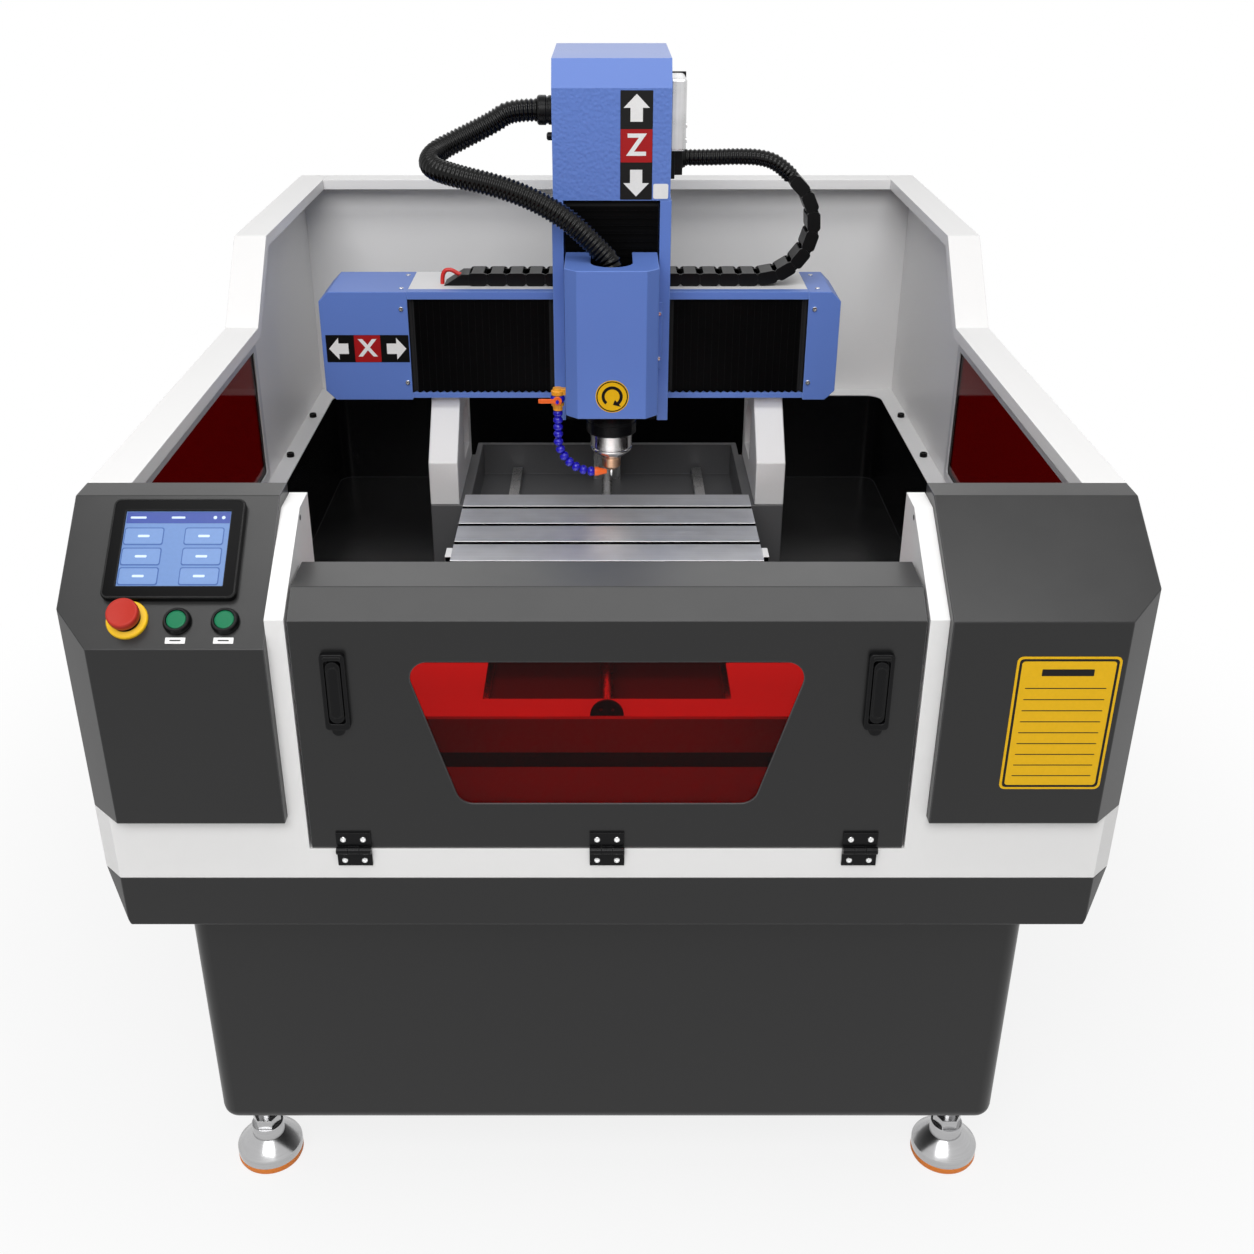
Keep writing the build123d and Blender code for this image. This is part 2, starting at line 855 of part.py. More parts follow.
def knuckle(x_range, way):
    """Barrel piece and the web that joins it to its leaf."""
    rod(Plane.YZ, (hinge_y, hinge_z), knuckle_radius, *x_range)
    web_z = sorted((hinge_z, hinge_z + way * hinge_web))
    block(x_range, (front_y - hinge_thickness, front_y), tuple(web_z))


with BuildPart() as hinge_frame_leaves:
    for x in hinge_places:
        hinge_leaf_plate(x, -1)
        for side in (-1, 1):
            ends = sorted((x + side * hinge_width / 2, x + side * (hinge_width / 2 - knuckle_width)))
            knuckle(tuple(ends), -1)
        rod(Plane.YZ, (hinge_y, hinge_z), hinge_pin_radius, x - hinge_width / 2, x + hinge_width / 2)
save(hinge_frame_leaves.part, "hinge_frame_leaves")
with BuildPart() as hinge_door_leaves:
    for x in hinge_places:
        hinge_leaf_plate(x, 1)
        middle = hinge_width / 2 - knuckle_width - run_gap
        knuckle((x - middle, x + middle), 1)
        rod(Plane.YZ, (hinge_y, hinge_z), hinge_pin_radius + pin_fit, x - hinge_width / 2,
            x + hinge_width / 2, mode=Mode.SUBTRACT)
save(hinge_door_leaves.part, "hinge_door_leaves")

# Latches: bodies let into the door, each with a lift-out lever on a cross pin
lever_pivot_y = front_y - latch_proud + lever_thickness / 2
lever_top_z = latch_mid_z + lever_height / 2
lever_pivot_z = lever_top_z - lever_thickness / 2
lever_well_x = lever_width / 2 + run_gap
with BuildPart() as latch_bodies:
    for x, z in latch_places:
        with BuildSketch(Plane.XZ.offset(-front_y)) as latch_plate:
            with Locations((x, z)):
                RectangleRounded(latch_width, latch_height, latch_corner)
        extrude(latch_plate.sketch, amount=latch_proud)
        block((x - latch_body_width / 2 + run_gap, x + latch_body_width / 2 - run_gap),
              (front_y, front_y + latch_body_depth),
              (z - latch_body_height / 2 + run_gap, z + latch_body_height / 2 - run_gap))
        block((x - lever_well_x, x + lever_well_x),
              (front_y - latch_proud - overrun, front_y - latch_proud + lever_thickness + run_gap),
              (z - lever_height / 2 - run_gap, z + lever_height / 2 + run_gap), mode=Mode.SUBTRACT)
        rod(Plane.YZ, (lever_pivot_y, lever_pivot_z), lever_pin_radius, x - lever_well_x - run_gap,
            x + lever_well_x + run_gap)
        block((x - latch_cam_thickness, x + latch_cam_thickness),
              (front_y + latch_body_depth, front_y + latch_body_depth + latch_cam_thickness),
              (z - latch_cam_length, z + latch_cam_thickness))
save(latch_bodies.part, "latch_bodies")


def latch_lever(x):
    """Flat lever, round at the pinned top end."""
    with BuildPart() as lever:
        block((x - lever_width / 2, x + lever_width / 2),
              (front_y - latch_proud, front_y - latch_proud + lever_thickness),
              (latch_mid_z - lever_height / 2, lever_pivot_z))
        rod(Plane.YZ, (lever_pivot_y, lever_pivot_z), lever_thickness / 2, x - lever_width / 2,
            x + lever_width / 2)
        rod(Plane.YZ, (lever_pivot_y, lever_pivot_z), lever_pin_radius + pin_fit,
            x - lever_width, x + lever_width, mode=Mode.SUBTRACT)
    return lever.part


save(latch_lever(-latch_x), "left_latch_lever")
save(latch_lever(latch_x), "right_latch_lever")

# Bed: iron casting with a long trough for the table drive and two wings for the legs
bed_x = bed_width / 2
wing_x = bed_x + wing_width
with BuildPart() as machine_bed:
    block((-bed_x, bed_x), (bed_y, bed_back_y), (tray_floor_z, bed_top_z))
    block((-wing_x, wing_x), (leg_y, leg_y + leg_depth), (tray_floor_z, bed_top_z))
    block((bed_wall - bed_x, bed_x - bed_wall), (bed_y + bed_wall, bed_back_y - bed_wall),
          (trough_z, bed_top_z + overrun), mode=Mode.SUBTRACT)
    block((bed_rib - bed_x, bed_x - bed_rib), (bed_y + bed_rib, bed_back_y - bed_rib),
          (tray_floor_z - overrun, trough_z - bed_floor), mode=Mode.SUBTRACT)
    rod(Plane.ZX, (y_screw_z, 0), screw_radius + run_gap * 2, bed_back_y - bed_wall - overrun,
        bed_back_y + overrun, mode=Mode.SUBTRACT)
save(machine_bed.part, "machine_bed")

# Gantry legs: castings with a sloping shoulder, pocketed on the inner side
leg_x = leg_gap / 2
leg_cap_z = beam_z - leg_cap
leg_side = [
    (leg_y, bed_top_z),
    (leg_y, bed_top_z + leg_face_height),
    (leg_y + leg_slope_run, leg_cap_z),
    (leg_y + leg_slope_run, beam_z),
    (leg_y + leg_depth, beam_z),
    (leg_y + leg_depth, bed_top_z),
]
with BuildPart() as gantry_legs:
    for side in (-1, 1):
        extrude(outline(Plane.YZ.offset(side * leg_x), leg_side), amount=side * leg_width)
        block(tuple(sorted((side * (leg_x - overrun), side * (leg_x + leg_pocket)))),
              (leg_y + leg_slope_run + leg_pocket_inset, leg_y + leg_depth - leg_pocket_inset),
              (bed_top_z + leg_pocket_inset, leg_cap_z - leg_pocket_inset), mode=Mode.SUBTRACT)
save(gantry_legs.part, "gantry_legs")

# Beam: hollow core behind the guides, with the plate that closes its top
core_left_x = -beam_left - core_overhang_left
core_right_x = beam_right + core_overhang_right
with BuildPart() as x_beam:
    block((core_left_x, core_right_x), (core_y, beam_back_y), (beam_z, core_top_z))
    block((core_left_x - overrun, core_right_x + overrun),
          (core_y + beam_wall, beam_back_y - beam_wall),
          (beam_z + beam_wall, core_top_z - beam_wall), mode=Mode.SUBTRACT)
    block((-beam_left, beam_right), (beam_y + upper_lip_depth, beam_back_y), (core_top_z, beam_top_z))
save(x_beam.part, "x_beam")

# Beam covers: end boxes over motor and bearing, and the lips that frame the bellows
cover_low_z = beam_z - top_plate
with BuildPart() as left_end:
    block((-beam_left - left_cover_length, -beam_left), (beam_y, beam_back_y), (cover_low_z, beam_top_z))
    chamfer(left_end.edges().filter_by(Axis.Y).group_by(Axis.X)[0], length=cover_chamfer)
    offset(amount=-sheet, openings=left_end.faces().sort_by(Axis.X)[-1:]
           + left_end.faces().sort_by(Axis.Y)[-1:])
with BuildPart() as right_end:
    block((beam_right, beam_right + right_cover_length), (beam_y, beam_back_y), (cover_low_z, beam_top_z))
    chamfer(right_end.edges().filter_by(Axis.Y).group_by(Axis.X)[-1], length=cover_chamfer)
    offset(amount=-sheet, openings=right_end.faces().sort_by(Axis.X)[:1]
           + right_end.faces().sort_by(Axis.Y)[-1:])
with BuildPart() as beam_lips:
    upper_fold = [
        (beam_y, beam_top_z - upper_lip_drop),
        (beam_y, beam_top_z),
        (beam_y + upper_lip_depth, beam_top_z),
    ]
    extrude(folded(Plane.YZ.offset(-beam_left), upper_fold, lip_thickness), amount=beam_left + beam_right)
    block((-beam_left, beam_right), (beam_y, core_y), (beam_z, beam_z + lower_lip_thickness))
cover_solids = left_end.solids() + right_end.solids() + beam_lips.solids()
save(Compound(list(cover_solids)), "beam_covers")

# Guide rails of the cross and lengthwise axes
x_rail_z = (x_screw_z - x_rail_spread, x_screw_z + x_rail_spread)
with BuildPart() as guide_rails:
    for z in x_rail_z:
        block((rail_end_gap - beam_left, beam_right - rail_end_gap), (core_y - rail_height, core_y),
              (z - x_rail_height / 2, z + x_rail_height / 2))
    for side in (-1, 1):
        rail_mid = side * y_rail_side
        block((rail_mid - rail_width / 2, rail_mid + rail_width / 2),
              (bed_y + bed_wall + rail_end_gap, bed_back_y - bed_wall - rail_end_gap),
              (trough_z, trough_z + rail_height))
save(guide_rails.part, "guide_rails")

# Screw bearings: pillow blocks at both ends of the cross and lengthwise screws
x_bearing_x = (-beam_left - bearing_length, beam_right)
y_bearing_y = (bed_y + bed_wall, bed_back_y - bed_wall - bearing_length)
with BuildPart() as screw_bearings:
    for x in x_bearing_x:
        block((x, x + bearing_length), (x_screw_y - rail_height, core_y),
              (x_screw_z - bearing_width / 2, x_screw_z + bearing_width / 2))
    rod(Plane.YZ, (x_screw_y, x_screw_z), screw_radius + pin_fit, core_left_x, core_right_x,
        mode=Mode.SUBTRACT)
    for y in y_bearing_y:
        block((-bearing_width / 2, bearing_width / 2), (y, y + bearing_length),
              (trough_z, y_screw_z + screw_radius * 2))
    rod(Plane.ZX, (y_screw_z, 0), screw_radius + pin_fit, bed_y, bed_back_y, mode=Mode.SUBTRACT)
save(screw_bearings.part, "screw_bearings")

# Axis motors: one on the beam's left end, one behind the bed
with BuildPart() as axis_motors:
    block((core_left_x - motor_length, core_left_x),
          (x_screw_y - motor_size / 2, x_screw_y + motor_size / 2),
          (x_screw_z - motor_size / 2, x_screw_z + motor_size / 2))
    block((-motor_size / 2, motor_size / 2), (bed_back_y, bed_back_y + motor_length),
          (y_screw_z - motor_size / 2, y_screw_z + motor_size / 2))
save(axis_motors.part, "axis_motors")

# Ball screws of the cross and lengthwise axes
with BuildPart() as x_screw:
    rod(Plane.YZ, (x_screw_y, x_screw_z), screw_radius, core_left_x + run_gap,
        beam_right + bearing_length)
save(x_screw.part, "x_screw")
with BuildPart() as y_screw:
    rod(Plane.ZX, (y_screw_z, 0), screw_radius, bed_y + bed_wall + run_gap, bed_back_y - run_gap)
save(y_screw.part, "y_screw")


def pleats(start, end, near, far):
    """Zigzag section of a bellows skin from start to end, its folds between near and far."""
    count = max(2, round(abs(end - start) / pleat_pitch))
    step = (end - start) / count
    ridge = []
    for i in range(count):
        ridge += [(start + i * step, near), (start + (i + 1 / 2) * step, far - pleat_skin)]
    ridge.append((end, near))
    valley = [(u, v + pleat_skin) for u, v in reversed(ridge)]
    return ridge + valley


# Beam bellows: pleated skins from the end covers to the carriage
column_left_x = carriage_x - column_width / 2
column_right_x = carriage_x + column_width / 2
bellows_y = beam_y + bellows_gap
bellows_z = (beam_z + lower_lip_thickness + run_gap, beam_top_z - upper_lip_drop - run_gap)
bellows_height = bellows_z[1] - bellows_z[0]
with BuildPart() as x_bellows_left:
    zigzag = pleats(-beam_left, column_left_x - run_gap, bellows_y, bellows_y + pleat_depth)
    extrude(outline(Plane.XY.offset(bellows_z[0]), zigzag), amount=bellows_height)
save(x_bellows_left.part, "x_bellows_left")
with BuildPart() as x_bellows_right:
    zigzag = pleats(column_right_x + run_gap, beam_right, bellows_y, bellows_y + pleat_depth)
    extrude(outline(Plane.XY.offset(bellows_z[0]), zigzag), amount=bellows_height)
save(x_bellows_right.part, "x_bellows_right")

# Slotted table with two side clips, on its saddle with guide blocks and screw nut
table_top_z = table_z + table_thickness
slot_places = [(i - (slot_count - 1) / 2) * slot_pitch + table_mid_y for i in range(slot_count)]
with BuildPart() as work_table:
    block((-table_width / 2, table_width / 2), (table_y, table_y + table_length), (table_z, table_top_z))
    for y in slot_places:
        block((-table_width, table_width), (y - slot_mouth / 2, y + slot_mouth / 2),
              (table_top_z - slot_mouth_depth - overrun, table_top_z + overrun), mode=Mode.SUBTRACT)
        block((-table_width, table_width), (y - slot_inner / 2, y + slot_inner / 2),
              (table_top_z - slot_mouth_depth - slot_inner_depth, table_top_z - slot_mouth_depth),
              mode=Mode.SUBTRACT)
    clip_y = table_y + clip_setback
    for side in (-1, 1):
        clip_x = sorted((side * table_width / 2, side * (table_width / 2 + clip_width)))
        block(tuple(clip_x), (clip_y, clip_y + clip_length),
              (table_top_z - clip_height, table_top_z))
save(work_table.part, "work_table")

block_z = trough_z + rail_height - block_lap
block_top_z = block_z + block_height
saddle_y = (table_mid_y - saddle_length / 2, table_mid_y + saddle_length / 2)
with BuildPart() as table_saddle:
    block((-saddle_width / 2, saddle_width / 2), saddle_y, (block_top_z, table_z))
    block((-saddle_channel / 2, saddle_channel / 2), (saddle_y[0] - overrun, saddle_y[1] + overrun),
          (block_top_z - overrun, table_z - saddle_skin), mode=Mode.SUBTRACT)
    for side in (-1, 1):
        for y in (saddle_y[0], saddle_y[1] - block_length):
            block((side * y_rail_side - rail_width, side * y_rail_side + rail_width),
                  (y, y + block_length), (block_z, block_top_z))
        half_groove = rail_width / 2 + run_gap
        block((side * y_rail_side - half_groove, side * y_rail_side + half_groove),
              (saddle_y[0] - overrun, saddle_y[1] + overrun),
              (block_z - overrun, trough_z + rail_height + run_gap), mode=Mode.SUBTRACT)
    block((-nut_width / 2, nut_width / 2), (table_mid_y - nut_length / 2, table_mid_y + nut_length / 2),
          (y_screw_z - screw_radius * 2, table_z - saddle_skin))
    rod(Plane.ZX, (y_screw_z, 0), screw_radius + run_gap, saddle_y[0] - overrun, saddle_y[1] + overrun,
        mode=Mode.SUBTRACT)
save(table_saddle.part, "table_saddle")

# Cross saddle: plate through the bellows plane with guide blocks and screw nut behind
plate_back_y = core_y - rail_height - x_rail_height + run_gap
saddle_z = (beam_z + lower_lip_thickness + saddle_margin, beam_top_z - upper_lip_drop - saddle_margin)
x_block_back_y = core_y - run_gap * 8
with BuildPart() as x_saddle:
    block((column_left_x, column_right_x), (column_back_y, plate_back_y), saddle_z)
    for z in x_rail_z:
        for x in (column_left_x, column_right_x - block_length):
            block((x, x + block_length), (plate_back_y, x_block_back_y),
                  (z - rail_width, z + rail_width))
        half_groove = x_rail_height / 2 + run_gap
        block((column_left_x - overrun, column_right_x + overrun),
              (core_y - rail_height - run_gap, core_y), (z - half_groove, z + half_groove),
              mode=Mode.SUBTRACT)
    block((carriage_x - x_nut_width / 2, carriage_x + x_nut_width / 2), (plate_back_y, x_block_back_y),
          (x_screw_z - x_nut_width / 2, x_screw_z + x_nut_width / 2))
    rod(Plane.YZ, (x_screw_y, x_screw_z), screw_radius + run_gap, column_left_x - overrun,
        column_right_x + overrun, mode=Mode.SUBTRACT)
save(x_saddle.part, "x_saddle")

# Column: channel that carries the head's rails
with BuildPart() as z_column:
    block((column_left_x, column_right_x), (column_y, column_back_y), (column_z, hood_z))
    block((column_left_x + column_flange, column_right_x - column_flange), (column_y - overrun, web_y),
          (column_z - overrun, hood_z + overrun), mode=Mode.SUBTRACT)
    for side in (-1, 1):
        rail_mid = carriage_x + side * z_rail_side
        block((rail_mid - z_rail_width / 2, rail_mid + z_rail_width / 2), (web_y - z_rail_height, web_y),
              (column_z, hood_z))
save(z_column.part, "z_column")

# Hood over the head motor: closed box with a sloping top front edge
hood_top_z = hood_z + hood_height
hood_side = [
    (column_y, hood_z),
    (column_y, hood_top_z - hood_slope_rise),
    (column_y + hood_slope_run, hood_top_z),
    (column_y + hood_depth, hood_top_z),
    (column_y + hood_depth, hood_z),
]
with BuildPart() as z_motor_hood:
    extrude(outline(Plane.YZ.offset(hood_left_x), hood_side), amount=hood_width)
    offset(amount=-sheet, mode=Mode.SUBTRACT)
    rod(Plane.XY, (carriage_x, z_screw_y), z_screw_radius + pin_fit, hood_z - overrun, hood_z + sheet,
        mode=Mode.SUBTRACT)
save(z_motor_hood.part, "z_motor_hood")
with BuildPart() as z_motor:
    block((carriage_x - z_motor_size / 2, carriage_x + z_motor_size / 2),
          (z_screw_y - z_motor_size / 2, z_screw_y + z_motor_size / 2),
          (hood_z + sheet, hood_z + sheet + z_motor_length))
save(z_motor.part, "z_motor")
with BuildPart() as z_screw:
    rod(Plane.XY, (carriage_x, z_screw_y), z_screw_radius, column_z + run_gap, hood_z + sheet - run_gap)
save(z_screw.part, "z_screw")

# Cable fittings: junction box and plug on the hood's right, conduit gland on its left
with BuildPart() as cable_fittings:
    box_y = column_y + box_setback
    block((hood_right_x, hood_right_x + box_width), (box_y, box_y + box_depth),
          (hood_z + box_rise, hood_z + box_rise + box_height))
    fillet(cable_fittings.edges().filter_by(Axis.Z).group_by(Axis.X)[-1], radius=box_radius)
    block((hood_right_x, hood_right_x + plug_width), (chain_y - plug_depth / 2, chain_y + plug_depth / 2),
          (plug_z, hood_z + box_rise))
    rod(Plane.YZ, (gland_y, gland_z), gland_radius, hood_left_x - gland_length, hood_left_x)
save(cable_fittings.part, "cable_fittings")

# Head slide: plate in the channel with guide blocks, screw nut and the spindle clamp
slide_mid_z = slide_z + slide_height / 2
clamp_z = cover_z + clamp_rise
with BuildPart() as z_slide:
    block((carriage_x - slide_width / 2, carriage_x + slide_width / 2), (slide_y, slide_back_y),
          (slide_z, slide_z + slide_height))
    for side in (-1, 1):
        rail_mid = carriage_x + side * z_rail_side
        for z in (slide_z, slide_z + slide_height - z_block_length):
            block((rail_mid - z_block_width / 2, rail_mid + z_block_width / 2),
                  (slide_back_y, web_y - run_gap * 8), (z, z + z_block_length))
        half_groove = z_rail_width / 2 + run_gap
        block((rail_mid - half_groove, rail_mid + half_groove), (web_y - z_rail_height - run_gap, web_y),
              (slide_z - overrun, slide_z + slide_height + overrun), mode=Mode.SUBTRACT)
    block((carriage_x - z_nut_width / 2, carriage_x + z_nut_width / 2), (slide_back_y, web_y - run_gap * 8),
          (slide_mid_z - z_nut_length / 2, slide_mid_z + z_nut_length / 2))
    rod(Plane.XY, (carriage_x, z_screw_y), z_screw_radius + run_gap, slide_z - overrun,
        slide_z + slide_height + overrun, mode=Mode.SUBTRACT)
    block((carriage_x - clamp_width / 2, carriage_x + clamp_width / 2), (spindle_y - clamp_front, slide_y),
          (clamp_z, clamp_z + clamp_height))
    rod(Plane.XY, (carriage_x, spindle_y), spindle_radius + pin_fit, clamp_z - overrun,
        clamp_z + clamp_height + overrun, mode=Mode.SUBTRACT)
save(z_slide.part, "z_slide")

# Head bellows above and below the slide, between the channel's flanges
z_bellows_x = carriage_x - column_width / 2 + column_flange + run_gap * 4
z_bellows_width = column_width - column_flange * 2 - run_gap * 8
z_bellows_y = cover_back_y + bellows_gap
with BuildPart() as z_bellows_upper:
    folds = pleats(slide_z + slide_height + run_gap, hood_z, z_bellows_y, z_bellows_y + pleat_depth)
    extrude(outline(Plane.YZ.offset(z_bellows_x), [(v, u) for u, v in folds]), amount=z_bellows_width)
save(z_bellows_upper.part, "z_bellows_upper")
with BuildPart() as z_bellows_lower:
    folds = pleats(column_z, slide_z - run_gap, z_bellows_y, z_bellows_y + pleat_depth)
    extrude(outline(Plane.YZ.offset(z_bellows_x), [(v, u) for u, v in folds]), amount=z_bellows_width)
save(z_bellows_lower.part, "z_bellows_lower")

# Spindle cover: folded housing, open behind and below, notched at the top for the conduit
with BuildPart() as spindle_cover:
    block((cover_left_x, cover_left_x + cover_width), (cover_y, cover_back_y), (cover_z, cover_top_z))
    chamfer(spindle_cover.edges().filter_by(Axis.Z).group_by(Axis.Y)[0], length=cover_corner)
    offset(amount=-sheet, openings=spindle_cover.faces().sort_by(Axis.Z)[:1]
           + spindle_cover.faces().sort_by(Axis.Y)[-1:])
    rod(Plane.XY, (carriage_x, spindle_y), cover_notch / 2, cover_top_z - sheet * 2, cover_top_z + overrun,
        mode=Mode.SUBTRACT)
    block((carriage_x - cover_notch / 2, carriage_x + cover_notch / 2), (spindle_y, cover_back_y + overrun),
          (cover_top_z - sheet * 2, cover_top_z + overrun), mode=Mode.SUBTRACT)
    tab_y = column_y - sheet * 2
    block((cover_left_x + cover_width - sheet, cover_left_x + cover_width + cover_tab_width),
          (tab_y, tab_y + sheet), (cover_z + cover_tab_rise, cover_z + cover_tab_rise + cover_tab_height))
save(spindle_cover.part, "spindle_cover")

# Spindle: motor body, black collar and steel nose, bored for the shaft
with BuildPart() as spindle_body:
    with BuildSketch(Plane.XZ.offset(-spindle_y)) as spindle_half:
        with BuildLine():
            Polyline(
                (carriage_x, cover_z + spindle_top),
                (carriage_x + spindle_radius, cover_z + spindle_top),
                (carriage_x + spindle_radius, cover_z),
                (carriage_x + collar_radius, cover_z),
                (carriage_x + collar_radius, collar_z),
                (carriage_x + nose_radius, collar_z),
                (carriage_x + nose_radius, nose_z),
                (carriage_x + taper_radius, taper_z),
                (carriage_x, taper_z),
                close=True,
            )
        make_face()
    revolve(spindle_half.sketch, axis=Axis((carriage_x, spindle_y, 0), (0, 0, 1)))
    rod(Plane.XY, (carriage_x, spindle_y), shaft_radius + pin_fit, taper_z - overrun,
        taper_z + shaft_depth, mode=Mode.SUBTRACT)
save(spindle_body.part, "spindle_body")

# Spindle shaft with its collet nut, and the engraving cutter
nut_top_z = taper_z - run_gap
nut_z = nut_top_z - nut_height
with BuildPart() as spindle_shaft:
    rod(Plane.XY, (carriage_x, spindle_y), shaft_radius, nut_top_z, taper_z + shaft_depth - run_gap)
    rod(Plane.XY, (carriage_x, spindle_y), nut_radius, nut_z, nut_top_z)
    chamfer(spindle_shaft.faces().sort_by(Axis.Z)[0].edges(), length=nut_radius / 3)
save(spindle_shaft.part, "spindle_shaft")
with BuildPart() as cutter:
    rod(Plane.XY, (carriage_x, spindle_y), cutter_radius, nut_z - cutter_shank, nut_z)
    with Locations((carriage_x, spindle_y, nut_z - cutter_shank - cutter_tip / 2)):
        Cone(cutter_tip_radius, cutter_radius, cutter_tip)
save(cutter.part, "cutter")

# Coolant valve on the cover's left, and the nozzle at the end of its hose
hose_top_z = valve_z
bend_z = hose_top_z - hose_drop
bend_x = hose_x + hose_bend
nozzle_z = bend_z - hose_bend
lever_z = valve_z + valve_height / 2
with BuildPart() as coolant_fittings:
    block((valve_x, cover_left_x), (valve_y, valve_y + valve_depth), (valve_z, valve_z + valve_height))
    rod(Plane.ZX, (lever_z, hose_x), hub_pin_radius, valve_y - hub_pin_length, valve_y)
    with Locations(Location((bend_x + nozzle_length / 2 + bead_gap, hose_y, nozzle_z), (0, 90, 0))):
        Cone(bead_radius - bead_gap, nozzle_tip, nozzle_length)
save(coolant_fittings.part, "coolant_fittings")

# Valve lever: hub on the valve's pin with a flat arm to the left
lever_back_y = valve_y - run_gap
with BuildPart() as valve_lever:
    rod(Plane.ZX, (lever_z, hose_x), hub_radius, lever_back_y - lever_bar_thickness, lever_back_y)
    block((hose_x - lever_arm, hose_x), (lever_back_y - lever_bar_thickness, lever_back_y),
          (lever_z - lever_bar / 2, lever_z + lever_bar / 2))
    rod(Plane.ZX, (lever_z, hose_x), hub_pin_radius + pin_fit, valve_y - hub_pin_length - overrun, valve_y,
        mode=Mode.SUBTRACT)
save(valve_lever.part, "valve_lever")

# Coolant hose: ball-jointed beads down from the valve and round to the cutter
with BuildPart() as bead:
    with BuildSketch(Plane.XZ):
        with BuildLine():
            Polyline(
                (0, 0),
                (bead_neck, 0),
                (bead_radius, bead_pitch / 3),
                (bead_radius, bead_pitch * 2 / 3),
                (bead_neck, bead_pitch - bead_gap),
                (0, bead_pitch - bead_gap),
                close=True,
            )
        make_face()
    revolve(axis=Axis.Z)
straight_beads = int(hose_drop / bead_pitch)
bend_beads = int(hose_bend * pi / 2 / bead_pitch)
beads = []
for i in range(straight_beads):
    z = hose_top_z - hose_drop * (i + 1) / straight_beads
    beads.append(Location((hose_x, hose_y, z)) * bead.part)
for i in range(bend_beads):
    angle = 90 * (i + 1) / bend_beads
    x = bend_x - hose_bend * cos(radians(angle))
    z = bend_z - hose_bend * sin(radians(angle))
    beads.append(Location((x, hose_y, z), (0, -angle, 0)) * bead.part)
save(Compound(beads), "coolant_hose")

# Drag chain: hollow links along the beam's top and round the turn at its right end
with BuildPart() as link:
    link_length = chain_pitch - chain_link_gap
    block((-link_length / 2, link_length / 2), (-chain_width / 2, chain_width / 2),
          (-chain_link_height / 2, chain_link_height / 2))
    block((-chain_pitch, chain_pitch), (chain_wall - chain_width / 2, chain_width / 2 - chain_wall),
          (chain_wall - chain_link_height / 2, chain_link_height / 2 - chain_wall), mode=Mode.SUBTRACT)
turn_x = chain_straight - chain_start
turn_z = chain_z + chain_bend
straight_links = int(chain_straight / chain_pitch)
turn_links = int(radians(chain_arc) * chain_bend / chain_pitch)
link_bend = chain_bend * cos(chain_pitch / chain_bend / 2)
links = []
for i in range(straight_links):
    x = turn_x - (i + 1 / 2) * chain_pitch
    links.append(Location((x, chain_y, chain_z + chain_link_gap / 2)) * link.part)
for i in range(turn_links):
    turn = (i + 1 / 2) * chain_pitch / chain_bend
    x = turn_x + link_bend * sin(turn)
    z = turn_z - link_bend * cos(turn)
    links.append(Location((x, chain_y, z), (0, -degrees(turn), 0)) * link.part)
save(Compound(links), "drag_chain")
chain_end = (turn_links - 1 / 2) * chain_pitch / chain_bend
chain_end_x = turn_x + link_bend * sin(chain_end) + chain_pitch / 2 * cos(chain_end)
chain_end_z = turn_z - link_bend * cos(chain_end) + chain_pitch / 2 * sin(chain_end)


def shifted(start, step):
    """Point reached from the start by a step on each axis."""
    return tuple(a + b for a, b in zip(start, step))


def cord(route, radius, name):
    """Round cord along straight runs joined by arcs as large as the runs allow."""
    points = [Vector(*p) for p in route]
    runs = [b - a for a, b in zip(points, points[1:])]
    bends = []
    for a, b in zip(runs, runs[1:]):
        half_turn = radians(a.get_angle(b)) / 2
        bends.append(min(a.length, b.length) * cord_bend_share / tan(half_turn))
    with BuildPart() as tube:
        with BuildLine() as path:
            FilletPolyline(*points, radius=bends)
        with BuildSketch(Plane(origin=points[0], z_dir=runs[0])):
            Circle(radius)
        sweep(path=path.wires()[0])
    length = path.wires()[0].length
    fill = tube.part.volume / (pi * radius**2 * length)
    print(name, "radii", [round(b) for b in bends], "length", round(length), "fill", round(fill, 4))
    save(tube.part, name)


conduit_start = (hood_left_x - gland_length, gland_y, gland_z)
cord([shifted(conduit_start, step) for step in conduit_steps], conduit_radius, "spindle_conduit")
feed_start = (hood_right_x + plug_width, chain_y, plug_mid_z)
feed_route = [shifted(feed_start, step) for step in feed_steps]
feed_last = feed_last_run * cos(chain_end)
feed_rise = feed_last_run * sin(chain_end)
feed_route.append((chain_end_x + feed_last, chain_y, chain_end_z + feed_rise))
feed_route.append((chain_end_x, chain_y, chain_end_z))
cord(feed_route, feed_radius, "chain_conduit")
chain_mouth = (turn_x - straight_links * chain_pitch, chain_y, chain_z)
cord([shifted(chain_mouth, step) for step in wire_steps], wire_radius, "chain_wires")
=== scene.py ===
"""Looks of a metal engraving machine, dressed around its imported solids."""

import json
import logging
import math
from dataclasses import dataclass, field
from enum import Enum
from typing import Iterable, Sequence

import bmesh
import bpy
from mathutils import Matrix, Vector

